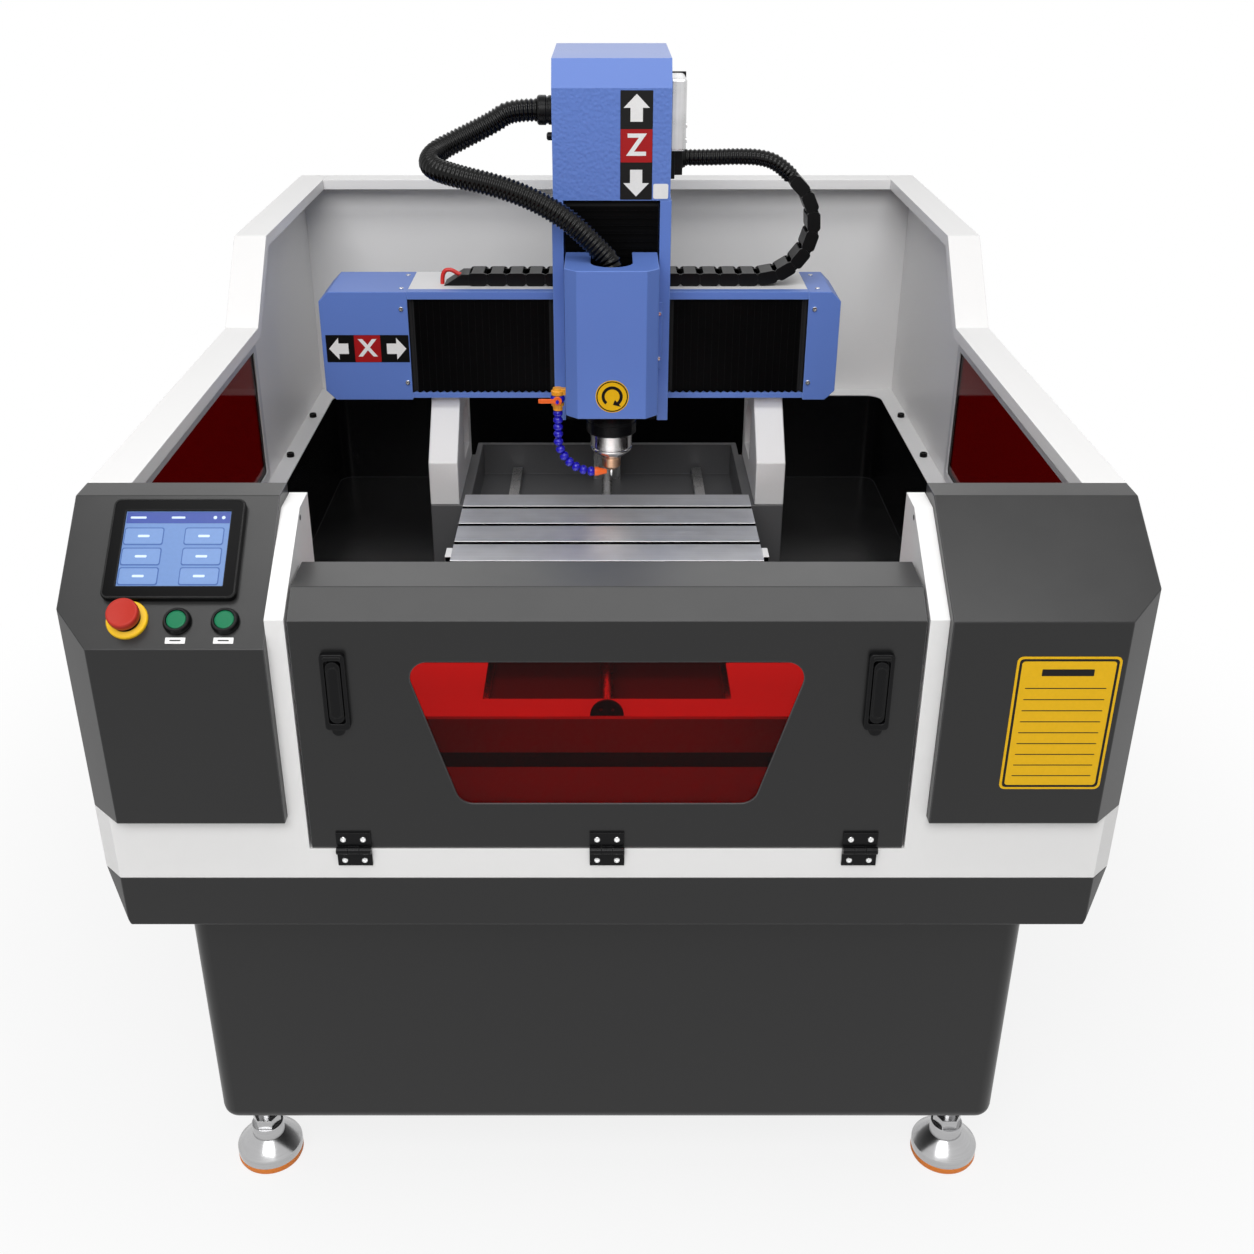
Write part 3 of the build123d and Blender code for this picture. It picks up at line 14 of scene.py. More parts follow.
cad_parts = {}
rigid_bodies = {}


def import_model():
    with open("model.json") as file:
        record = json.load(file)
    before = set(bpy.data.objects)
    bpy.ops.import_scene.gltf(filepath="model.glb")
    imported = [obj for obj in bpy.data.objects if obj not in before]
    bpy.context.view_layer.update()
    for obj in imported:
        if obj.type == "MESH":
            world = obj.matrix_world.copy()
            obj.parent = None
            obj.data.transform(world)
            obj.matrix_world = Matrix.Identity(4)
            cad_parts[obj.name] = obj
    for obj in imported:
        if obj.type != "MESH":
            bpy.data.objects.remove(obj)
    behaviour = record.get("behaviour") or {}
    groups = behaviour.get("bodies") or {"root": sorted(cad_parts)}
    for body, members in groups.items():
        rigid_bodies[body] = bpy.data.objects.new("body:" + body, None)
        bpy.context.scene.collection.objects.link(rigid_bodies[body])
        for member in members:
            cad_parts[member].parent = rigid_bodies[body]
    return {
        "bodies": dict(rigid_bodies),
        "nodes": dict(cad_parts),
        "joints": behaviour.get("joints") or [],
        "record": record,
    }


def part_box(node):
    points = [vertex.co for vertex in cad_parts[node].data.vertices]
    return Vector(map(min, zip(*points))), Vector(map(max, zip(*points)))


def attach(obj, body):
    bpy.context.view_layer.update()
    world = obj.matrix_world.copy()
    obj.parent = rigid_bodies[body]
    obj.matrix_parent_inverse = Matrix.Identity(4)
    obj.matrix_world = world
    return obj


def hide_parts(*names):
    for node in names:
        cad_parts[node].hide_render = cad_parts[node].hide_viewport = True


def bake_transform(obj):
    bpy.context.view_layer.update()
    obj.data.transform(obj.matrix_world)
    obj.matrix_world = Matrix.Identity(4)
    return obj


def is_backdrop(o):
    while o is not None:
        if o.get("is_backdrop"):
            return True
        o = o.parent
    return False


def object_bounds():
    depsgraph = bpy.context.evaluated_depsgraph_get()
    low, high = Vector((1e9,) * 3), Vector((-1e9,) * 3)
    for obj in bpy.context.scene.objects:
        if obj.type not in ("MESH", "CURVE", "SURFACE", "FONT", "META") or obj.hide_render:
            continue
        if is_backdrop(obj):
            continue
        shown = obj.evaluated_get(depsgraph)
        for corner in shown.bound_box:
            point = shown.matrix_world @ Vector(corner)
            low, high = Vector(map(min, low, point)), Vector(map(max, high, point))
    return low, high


LOG = logging.getLogger("engraving_machine")
IMAGE_PIXELS = 1254
MM = 0.001

Point = tuple[float, float, float]
Flat = tuple[float, float]
Colour = tuple[float, float, float]
Rgba = tuple[float, float, float, float]
Socket = bpy.types.NodeSocket

RIGHT: Point = (1.0, 0.0, 0.0)
LEFT: Point = (-1.0, 0.0, 0.0)
FRONT: Point = (0.0, -1.0, 0.0)
BACK: Point = (0.0, 1.0, 0.0)
UP: Point = (0.0, 0.0, 1.0)
EDGE_ANGLE = 35.0
ROUND_ANGLE = 30.0
DUST_GREY: Colour = (0.45, 0.44, 0.43)
PURE_WHITE: Colour = (1.0, 1.0, 1.0)


class Body(Enum):
    """Moving bodies of the machine."""

    FRAME = "frame"
    TABLE = "table"
    CARRIAGE = "carriage"
    HEAD = "spindle_head"
    SPINDLE = "spindle"
    DOOR = "door"
    LEFT_LATCH = "left_latch"
    RIGHT_LATCH = "right_latch"
    ESTOP = "estop"
    START = "start"
    STOP = "stop"
    VALVE = "coolant_valve"


class Recess(Enum):
    """Drive cut into a screw head."""

    HEX = "hex"
    CROSS = "cross"


class Graph:
    """Adds nodes to one node tree and links them."""

    def __init__(self, tree: bpy.types.NodeTree) -> None:
        """Keep the tree.

        Args:
            tree: Shader or geometry tree to fill.
        """
        self.tree = tree

    def add(self, kind: str, inputs: dict | None = None, **settings: object) -> bpy.types.Node:
        """Add a node.

        Args:
            kind: Node type name.
            inputs: Socket name or index to a constant or to another node's socket.
            settings: Properties of the node.

        Returns:
            The new node.
        """
        node = self.tree.nodes.new(kind)
        for key, value in settings.items():
            setattr(node, key, value)
        self.feed(node, inputs or {})
        return node

    def feed(self, node: bpy.types.Node, inputs: dict) -> None:
        """Set or link a node's inputs.

        Args:
            node: Node to feed.
            inputs: Socket name or index to a constant or to another node's socket.
        """
        for key, value in inputs.items():
            socket = node.inputs[key]
            if isinstance(value, Socket):
                self.tree.links.new(value, socket)
            else:
                socket.default_value = value

    def place(self) -> Socket:
        """Give the Object coordinates."""
        return self.add("ShaderNodeTexCoord").outputs["Object"]

    def noise(self, place: Socket, scale: object, detail: float) -> Socket:
        """Add a noise.

        Args:
            place: Coordinates to read.
            scale: Constant or socket with the noise's scale.
            detail: Number of finer layers.

        Returns:
            The noise's value socket.
        """
        return self.add("ShaderNodeTexNoise", {"Vector": place, "Scale": scale, "Detail": detail}).outputs[0]

    def relief(self, height: Socket, strength: float, distance: float) -> Socket:
        """Turn a height into a bumped normal.

        Args:
            height: Socket with the height.
            strength: Strength of the bump.
            distance: Full height in metres.

        Returns:
            The normal socket.
        """
        return self.add("ShaderNodeBump", {
            "Height": height, "Strength": strength, "Distance": distance}).outputs[0]

    def math(self, operation: str, *values: object) -> Socket:
        """Add a Math node.

        Args:
            operation: Math operation name.
            values: Constants or sockets, in order.

        Returns:
            The result socket.
        """
        return self.add("ShaderNodeMath", dict(enumerate(values)), operation=operation).outputs[0]

    def mix(self, factor: object, first: object, second: object) -> Socket:
        """Mix two colours.

        Args:
            factor: Share of the second colour.
            first: Colour at factor 0.
            second: Colour at factor 1.

        Returns:
            The mixed colour socket.
        """
        node = self.add("ShaderNodeMix", {0: factor, 6: first, 7: second}, data_type="RGBA")
        return node.outputs[2]

    def spread(self, value: object, low: float, high: float) -> Socket:
        """Map a value from 0..1 to a range.

        Args:
            value: Socket to map.
            low: Result at 0.
            high: Result at 1.

        Returns:
            The mapped socket.
        """
        return self.add("ShaderNodeMapRange", {"Value": value, "To Min": low, "To Max": high}).outputs[0]


def rgba(colour: Colour) -> Rgba:
    """Give a colour full opacity."""
    return (*colour, 1.0)


def group_tree(name: str, inputs: dict[str, float], outputs: dict[str, str]) -> Graph:
    """Start a shader node group.

    Args:
        name: Name of the group.
        inputs: Float inputs and their defaults.
        outputs: Output names and their socket types.

    Returns:
        A graph over the new group tree.
    """
    tree = bpy.data.node_groups.new(name, "ShaderNodeTree")
    for key, value in inputs.items():
        socket = tree.interface.new_socket(key, in_out="INPUT", socket_type="NodeSocketFloat")
        socket.default_value = value
    for key, kind in outputs.items():
        tree.interface.new_socket(key, in_out="OUTPUT", socket_type=kind)
    return Graph(tree)


def grain_group() -> bpy.types.NodeTree:
    """Fine grain and slow tone drift of a sprayed or moulded surface.

    Returns:
        The group, with outputs Height and Tone.
    """
    name = "surface_grain"
    if name in bpy.data.node_groups:
        return bpy.data.node_groups[name]
    graph = group_tree(name, {"Scale": 900.0}, {"Height": "NodeSocketFloat", "Tone": "NodeSocketFloat"})
    given = graph.add("NodeGroupInput")
    place = graph.place()
    fine = graph.noise(place, given.outputs["Scale"], 2.0)
    slow = graph.noise(place, 4.0, 3.0)
    tone = graph.math("MULTIPLY_ADD", slow, 0.5, graph.math("MULTIPLY", fine, 0.5))
    graph.add("NodeGroupOutput", {"Height": fine, "Tone": tone})
    return graph.tree


def edge_group() -> bpy.types.NodeTree:
    """Mask of the line along sharp edges, where wear and painted edge highlight are laid.

    Returns:
        The group, with output Edge.
    """
    name = "edge_wear"
    if name in bpy.data.node_groups:
        return bpy.data.node_groups[name]
    graph = group_tree(name, {"Radius": 0.002}, {"Edge": "NodeSocketFloat"})
    given = graph.add("NodeGroupInput")
    rounded = graph.add("ShaderNodeBevel", {"Radius": given.outputs["Radius"]}, samples=4)
    plain = graph.add("ShaderNodeNewGeometry").outputs["Normal"]
    facing = graph.add("ShaderNodeVectorMath", {0: rounded.outputs[0], 1: plain}, operation="DOT_PRODUCT")
    turn = graph.math("SUBTRACT", 1.0, facing.outputs["Value"])
    mask = graph.add("ShaderNodeMapRange", {"Value": turn, "From Min": 0.01, "From Max": 0.09})
    graph.add("NodeGroupOutput", {"Edge": mask.outputs[0]})
    return graph.tree


def dust_group() -> bpy.types.NodeTree:
    """Mask of fine dust that settles on faces that look up.

    Returns:
        The group, with output Dust.
    """
    name = "settled_dust"
    if name in bpy.data.node_groups:
        return bpy.data.node_groups[name]
    graph = group_tree(name, {"Amount": 0.2}, {"Dust": "NodeSocketFloat"})
    given = graph.add("NodeGroupInput")
    normal = graph.add("ShaderNodeNewGeometry").outputs["Normal"]
    up = graph.add("ShaderNodeSeparateXYZ", {0: normal}).outputs["Z"]
    flat = graph.add("ShaderNodeMapRange", {"Value": up, "From Min": 0.6, "From Max": 1.0}).outputs[0]
    patch = graph.noise(graph.place(), 22.0, 5.0)
    mask = graph.math("MULTIPLY", graph.math("MULTIPLY", flat, patch), given.outputs["Amount"])
    graph.add("NodeGroupOutput", {"Dust": mask})
    return graph.tree


def start_material(name: str) -> tuple[bpy.types.Material, Graph, bpy.types.Node]:
    """Make an empty node material.

    Args:
        name: Name of the material.

    Returns:
        The material, a graph over its tree and its Principled BSDF.
    """
    material = bpy.data.materials.new(name)
    material.use_nodes = True
    tree = material.node_tree
    tree.nodes.clear()
    graph = Graph(tree)
    shader = graph.add("ShaderNodeBsdfPrincipled")
    graph.add("ShaderNodeOutputMaterial", {"Surface": shader.outputs[0]})
    return material, graph, shader


@dataclass(frozen=True)
class Finish:
    """Surface of one kind of piece."""

    name: str
    colour: Colour
    slot: str
    roughness: float = 0.42

    def material(self) -> bpy.types.Material:
        """Give the finish's material, made at its first use.

        Returns:
            The material.
        """
        title = f"{self.name}_finish"
        made = bpy.data.materials.get(title)
        if made is not None:
            return made
        material, graph, shader = start_material(title)
        self.fill(graph, shader)
        material.diffuse_color = rgba(self.colour)
        return material

    def tones(self, share: float) -> tuple[Rgba, Rgba]:
        """Give a darker and a lighter neighbour of the colour.

        Args:
            share: How far they lie from it.

        Returns:
            The two colours, opaque.
        """
        dark = tuple(part * (1.0 - share) for part in self.colour)
        light = tuple(min(1.0, part * (1.0 + share)) for part in self.colour)
        return rgba(dark), rgba(light)

    def fill(self, graph: Graph, shader: bpy.types.Node) -> None:
        """Wire the finish into its shader.

        Args:
            graph: Graph of the material.
            shader: Its Principled BSDF.
        """
        raise NotImplementedError


@dataclass(frozen=True)
class Coat(Finish):
    """Sprayed paint, moulded plastic or rubber with a fine grain."""

    grain: float = 900.0
    bump: float = 0.10
    drift: float = 0.16
    edge: float = 0.35
    edge_colour: Colour | None = None
    dust: float = 0.0
    specular: float = 0.5
    cells: float = 0.0

    def fill(self, graph: Graph, shader: bpy.types.Node) -> None:
        """Wire grain, edge wear with painted edge highlight, dust and hammer marks into the shader.

        Args:
            graph: Graph of the material.
            shader: Its Principled BSDF.
        """
        grain = graph.add("ShaderNodeGroup", {"Scale": self.grain}, node_tree=grain_group())
        tone = grain.outputs["Tone"]
        colour = graph.mix(tone, *self.tones(self.drift))
        # Lighter colour along edges: part wear, part painted highlight where edges would catch the light.
        if self.edge > 0.0:
            edge = graph.add("ShaderNodeGroup", node_tree=edge_group())
            wear_highlight_colour = self.edge_colour or tuple(min(1.0, part * 1.6 + 0.01) for part in self.colour)
            share = graph.math("MULTIPLY", edge.outputs["Edge"], self.edge)
            colour = graph.mix(share, colour, rgba(wear_highlight_colour))
        if self.dust > 0.0:
            dust = graph.add("ShaderNodeGroup", {"Amount": self.dust}, node_tree=dust_group())
            colour = graph.mix(dust.outputs["Dust"], colour, rgba(DUST_GREY))
        height, depth = grain.outputs["Height"], 0.4 * MM
        if self.cells > 0.0:
            height, depth = self.hammer_marks(graph), 1.0 * MM
        graph.feed(shader, {
            "Base Color": colour,
            "Roughness": graph.spread(tone, self.roughness - 0.07, self.roughness + 0.07),
            "Normal": graph.relief(height, self.bump, depth),
            "Specular IOR Level": self.specular,
        })

    def hammer_marks(self, graph: Graph) -> Socket:
        """Give the height of hammer marks on faces that look to the front.

        Args:
            graph: Graph of the material.

        Returns:
            The height socket.
        """
        spots = {"Vector": graph.place(), "Scale": self.cells}
        cells = graph.add("ShaderNodeTexVoronoi", spots, feature="SMOOTH_F1")
        normal = graph.add("ShaderNodeNewGeometry").outputs["Normal"]
        depth = graph.add("ShaderNodeSeparateXYZ", {0: normal}).outputs["Y"]
        front = graph.math("LESS_THAN", depth, -0.95)
        return graph.math("MULTIPLY", cells.outputs["Distance"], front)


@dataclass(frozen=True)
class Metal(Finish):
    """Bare metal with the marks of its cutting direction; on the junction box the strong bands are painted
    highlight and shade.
    """

    marks: Point = (8.0, 900.0, 900.0)
    bump: float = 0.06
    spread: float = 0.12
    contrast: float = 0.18

    def fill(self, graph: Graph, shader: bpy.types.Node) -> None:
        """Wire the stretched cutting marks into the shader; on the junction box they are painted highlight
        and shade bands.

        Args:
            graph: Graph of the material.
            shader: Its Principled BSDF.
        """
        place = graph.place()
        drawn = graph.add("ShaderNodeMapping", {"Vector": place, "Scale": self.marks})
        lines = graph.noise(drawn.outputs[0], 1.0, 4.0)
        cloud = graph.math("MULTIPLY", graph.noise(place, 30.0, 3.0), 0.35)
        tone = graph.math("MULTIPLY_ADD", lines, 0.65, cloud)
        colour = graph.mix(tone, *self.tones(self.contrast))
        smooth = max(0.03, self.roughness - self.spread)
        graph.feed(shader, {
            "Base Color": self.shade(graph, place, colour),
            "Roughness": graph.spread(tone, smooth, self.roughness + self.spread),
            "Normal": graph.relief(lines, self.bump, 0.3 * MM),
            "Metallic": 1.0,
        })

    def shade(self, graph: Graph, place: Socket, colour: Socket) -> Socket:
        """Keep the colour as it is."""
        return colour


@dataclass(frozen=True)
class SlottedMetal(Metal):
    """Bare metal with painted shade inside the slots across it."""

    first: float = -0.281
    pitch: float = 0.081
    half: float = 0.0125
    top: float = 0.7615
    slot_shade: Colour = (0.006, 0.006, 0.006)

    def shade(self, graph: Graph, place: Socket, colour: Socket) -> Socket:
        """Paint shade into the insides of the slots.

        Args:
            graph: Graph of the material.
            place: Object coordinates.
            colour: Colour of the open faces.

        Returns:
            The colour with painted shade in the slots.
        """
        axes = graph.add("ShaderNodeSeparateXYZ", {0: place})
        along = graph.math("SUBTRACT", axes.outputs["Y"], self.first - self.pitch / 2)
        share = graph.math("FRACT", graph.math("DIVIDE", along, self.pitch))
        off = graph.math("ABSOLUTE", graph.math("SUBTRACT", share, 0.5))
        inside = graph.math("LESS_THAN", off, self.half / self.pitch)
        below = graph.math("LESS_THAN", axes.outputs["Z"], self.top)
        # Painted shade: slot faces below the table top turn near black.
        return graph.mix(graph.math("MULTIPLY", inside, below), colour, rgba(self.slot_shade))


@dataclass(frozen=True)
class Acrylic(Finish):
    """Tinted clear sheet."""

    bend: float = 1.16

    def fill(self, graph: Graph, shader: bpy.types.Node) -> None:
        """Wire a clear tinted shader with faint waviness.

        Args:
            graph: Graph of the material.
            shader: Its Principled BSDF.
        """
        place = graph.place()
        smear = graph.noise(place, 40.0, 4.0)
        graph.feed(shader, {
            "Base Color": rgba(self.colour),
            "Roughness": graph.spread(smear, self.roughness * 0.5, self.roughness * 1.5),
            "Normal": graph.relief(graph.noise(place, 7.0, 1.0), 0.03, 1.0 * MM),
            "IOR": self.bend,
            "Transmission Weight": 1.0,
        })


@dataclass(frozen=True)
class Ink(Finish):
    """Printed film, or a lit patch of the screen."""

    glow: float = 0.0

    def fill(self, graph: Graph, shader: bpy.types.Node) -> None:
        """Wire a print with a slight mottle, lit where it glows.

        Args:
            graph: Graph of the material.
            shader: Its Principled BSDF.
        """
        mottle = graph.noise(graph.place(), 260.0, 3.0)
        dark = tuple(part * 0.9 for part in self.colour)
        colour = graph.mix(mottle, rgba(dark), rgba(self.colour))
        graph.feed(shader, {
            "Base Color": colour,
            "Roughness": graph.spread(mottle, self.roughness - 0.05, self.roughness + 0.08),
            "Specular IOR Level": 0.2,
        })
        if self.glow > 0.0:
            graph.feed(shader, {"Emission Color": colour, "Emission Strength": self.glow})


@dataclass(frozen=True)
class Cloth(Finish):
    """Coated bellows cloth with a fine weave."""

    thread: float = 1.1 * MM
    fold: float = 2.0 * MM
    fold_highlight_colour: Colour = (0.022, 0.022, 0.023)

    def fill(self, graph: Graph, shader: bpy.types.Node) -> None:
        """Wire two crossing thread waves and the painted highlight along the fold lines into the shader.

        Args:
            graph: Graph of the material.
            shader: Its Principled BSDF.
        """
        place = graph.place()
        bands = {"Vector": place, "Scale": 1.0 / self.thread / 6.0}
        threads = []
        for direction in ("X", "Z"):
            wave = graph.add("ShaderNodeTexWave", bands, bands_direction=direction)
            threads.append(wave.outputs["Fac"])
        weave = graph.math("MULTIPLY", *threads)
        fade = graph.noise(place, 14.0, 4.0)
        light = tuple(part * 1.9 for part in self.colour)
        colour = graph.mix(fade, rgba(self.colour), rgba(light))
        # Lighter colour along the fold ridges: painted highlight.
        fold_highlights = graph.add("ShaderNodeGroup", {"Radius": self.fold}, node_tree=edge_group())
        graph.feed(shader, {
            "Base Color": graph.mix(fold_highlights.outputs["Edge"], colour, rgba(self.fold_highlight_colour)),
            "Roughness": graph.spread(fade, self.roughness - 0.1, self.roughness + 0.1),
            "Normal": graph.relief(weave, 0.25, 0.3 * MM),
            "Specular IOR Level": 0.03,
        })


BLUE_TONE: Colour = (0.117, 0.207, 0.56)
# Lighter blue laid along the blue parts' edges: painted edge highlight.
BLUE_EDGE_HIGHLIGHT: Colour = (0.26, 0.42, 0.80)
SCREEN_GLOW = 0.35

# Grey: its lighter edge colour paints highlight lines along the creases.
GREY = Coat("grey_powder", (0.0096, 0.0096, 0.0098), "grey_paint", 0.32, edge=0.8,
            edge_colour=(0.12, 0.12, 0.125), dust=0.03, specular=0.38)
WHITE = Coat("white_powder", (0.80, 0.795, 0.79), "white_paint", 0.38, bump=0.06, drift=0.03, edge=0.2,
             specular=0.2)
LEG_WHITE = Coat("white_casting", (0.71, 0.705, 0.705), "white_iron", 0.45, grain=350.0, bump=0.14,
                 drift=0.04)
BLUE = Coat("blue_enamel", BLUE_TONE, "blue_paint", 0.36, bump=0.08, drift=0.06, edge=0.45,
            edge_colour=BLUE_EDGE_HIGHLIGHT, specular=0.2)
HAMMERED = Coat("blue_hammered", BLUE_TONE, "blue_paint", 0.30, bump=0.9, drift=0.06, edge=0.4,
                edge_colour=BLUE_EDGE_HIGHLIGHT, specular=0.22, cells=180.0)
BED_GREY = Coat("grey_casting", (0.085, 0.085, 0.088), "grey_iron", 0.5, grain=320.0, bump=0.25, edge=0.6)
BLACK = Coat("black_enamel", (0.0035, 0.0035, 0.004), "black_paint", 0.26, bump=0.05, edge=0.4,
             edge_colour=(0.03, 0.03, 0.03), specular=0.14)
# Tray: its lighter edge colour paints highlight lines along the floor and wall joins.
TRAY = Coat("tray_black", (0.0025, 0.0025, 0.0028), "black_paint", 0.24, grain=500.0, edge=0.9,
            edge_colour=(0.06, 0.06, 0.062), dust=0.02, specular=0.26)
PLASTIC = Coat("black_plastic", (0.005, 0.005, 0.0052), "black_plastic", 0.32, grain=1200.0, edge=0.5,
               edge_colour=(0.04, 0.04, 0.04), specular=0.12)
BEZEL = Coat("bezel_black", (0.0018, 0.0018, 0.002), "black_plastic", 0.22, grain=1200.0, bump=0.03,
             edge=0.9, edge_colour=(0.05, 0.05, 0.05), specular=0.05)
RUBBER = Coat("conduit_rubber", (0.0015, 0.0015, 0.0015), "conduit_rubber", 0.16, grain=1500.0, bump=0.03,
              edge=0.0, specular=0.2)
ORANGE_RUBBER = Coat("orange_rubber", (0.80, 0.22, 0.02), "orange_rubber", 0.6, grain=600.0, edge=0.1)
RED_PLASTIC = Coat("stop_red", (0.42, 0.028, 0.018), "stop_red", 0.36, grain=800.0, edge=0.15, specular=0.15)
YELLOW = Coat("stop_yellow", (0.86, 0.52, 0.01), "black_plastic", 0.4, grain=800.0, edge=0.1, specular=0.3)
GREEN = Coat("button_green", (0.008, 0.160, 0.070), "button_green", 0.3, grain=800.0, edge=0.15,
             specular=0.15)
COOLANT_BLUE = Coat("coolant_blue", (0.014, 0.010, 0.46), "coolant_blue", 0.2, edge=0.0)
COOLANT_ORANGE = Coat("coolant_orange", (0.85, 0.13, 0.012), "lever_orange", 0.35, edge=0.15)
BRASS_ORANGE = Coat("valve_amber", (0.85, 0.36, 0.02), "lever_orange", 0.34, edge=0.15)
WIRE_RED = Coat("wire_red", (0.62, 0.02, 0.015), "wire_red", 0.35, grain=1500.0, edge=0.0)
CASE = Coat("case_grey", (0.5, 0.5, 0.5), "case_steel", 0.45)
# Dark grey sheets in the door well: painted shade of the space behind the door.
WELL_SHADE = Coat("well_lining", (0.22, 0.217, 0.213), "white_paint", 0.5, grain=500.0, drift=0.12, edge=0.2,
              specular=0.2)
GASKET = Coat("window_trim", (0.60, 0.60, 0.61), "white_paint", 0.45, edge=0.2)
MOTOR = Coat("motor_black", (0.012, 0.012, 0.013), "motor_black", 0.4, specular=0.25)
# Table: the insides of its slots get painted shade.
TABLE_METAL = SlottedMetal("milled_aluminium", (0.82, 0.82, 0.825), "aluminium", 0.46, (5.0, 700.0, 700.0))
STEEL = Metal("ground_steel", (0.56, 0.555, 0.55), "steel", 0.28, (500.0, 500.0, 40.0))
TURNED = Metal("turned_steel", (0.70, 0.69, 0.68), "steel", 0.2, (6.0, 6.0, 1400.0))
COPPER = Metal("collet_bronze", (0.55, 0.34, 0.22), "steel", 0.3, (6.0, 6.0, 900.0))
CHROME = Metal("foot_chrome", (0.46, 0.46, 0.465), "chrome", 0.2, (20.0, 20.0, 900.0), bump=0.02,
               spread=0.06)
SCREW_STEEL = Metal("screw_steel", (0.72, 0.72, 0.72), "steel", 0.25, (900.0, 900.0, 900.0))
# Junction box: strongly contrasted stretched bands paint the highlight and shade of a rounded casing.
ALLOY_BOX_PAINTED_SHEEN = Metal("box_alloy", (0.66, 0.66, 0.67), "aluminium", 0.30, (110.0, 4.0, 4.0), contrast=0.55)
DOOR_PANE = Acrylic("door_acrylic", (0.68, 0.008, 0.007), "red_acrylic", 0.03)
# Side panes: the door's red acrylic tinted far darker, painted shade of the dark space behind them.
SIDE_PANE_SHADED = Acrylic("side_acrylic", (0.054, 0.0004, 0.0005), "red_acrylic", 0.04, bend=1.07)
# Bellows: the pale fold lines are painted highlight.
PLEATS = Cloth("bellows_cloth", (0.0014, 0.0014, 0.0015), "bellows_cloth", 0.4)
SCREEN_BLUE = Ink("screen_ground", (0.115, 0.202, 0.415), "screen", 0.22, glow=SCREEN_GLOW)
SCREEN_HEAD = Ink("screen_header", (0.035, 0.062, 0.264), "screen", 0.22, glow=SCREEN_GLOW)
SCREEN_TILE = Ink("screen_tile", (0.135, 0.228, 0.448), "screen", 0.22, glow=SCREEN_GLOW)
SCREEN_LINE = Ink("screen_line", (0.048, 0.106, 0.30), "screen", 0.22, glow=0.3)
SCREEN_MARK = Ink("screen_mark", (0.50, 0.60, 0.76), "screen", 0.22, glow=SCREEN_GLOW)
PRINT_WHITE = Ink("print_white", (0.84, 0.84, 0.83), "white_paint", 0.4)
# Black print, also used as painted shade on the posts' latch holes.
BLACK_PRINT_AND_SHADE = Ink("print_black", (0.004, 0.004, 0.004), "black_plastic", 0.34)
PRINT_RED = Ink("print_red", (0.38, 0.010, 0.012), "stop_red", 0.38)
PRINT_YELLOW = Ink("print_yellow", (0.80, 0.46, 0.006), "black_plastic", 0.36)


def frame_at(origin: Point, normal: Point, across: Point = RIGHT) -> Matrix:
    """Place a flat drawing on a surface.

    Args:
        origin: Point where the drawing's zero lies.
        normal: Direction that the drawing's depth grows in.
        across: Direction of the drawing's first axis.

    Returns:
        The matrix from drawing to machine coordinates.
    """
    z = Vector(normal).normalized()
    x = (Vector(across) - Vector(across).dot(z) * z).normalized()
    y = z.cross(x)
    turn = Matrix((x, y, z)).transposed().to_4x4()
    return Matrix.Translation(origin) @ turn


def rounded(width: float, height: float, radius: float, centre: Flat = (0.0, 0.0),
            steps: int = 6) -> list[Flat]:
    """Outline of a rectangle with round corners.

    Args:
        width: Full width.
        height: Full height.
        radius: Corner radius.
        centre: Middle of the rectangle.
        steps: Segments of each corner.

    Returns:
        The outline's points, counter-clockwise.
    """
    points = []
    for turn, (sx, sy) in enumerate(((1, 1), (-1, 1), (-1, -1), (1, -1))):
        cx = centre[0] + sx * (width / 2 - radius)
        cy = centre[1] + sy * (height / 2 - radius)
        for step in range(steps + 1):
            angle = (turn + step / steps) * math.pi / 2
            points.append((cx + radius * math.cos(angle), cy + radius * math.sin(angle)))
    return points


def circle(radius: float, steps: int, centre: Flat = (0.0, 0.0)) -> list[Flat]:
    """Points round a circle.

    Args:
        radius: Radius.
        steps: Number of points.
        centre: Middle.

    Returns:
        The points, counter-clockwise.
    """
    turns = [math.tau * step / steps for step in range(steps)]
    return [(centre[0] + radius * math.cos(t), centre[1] + radius * math.sin(t)) for t in turns]


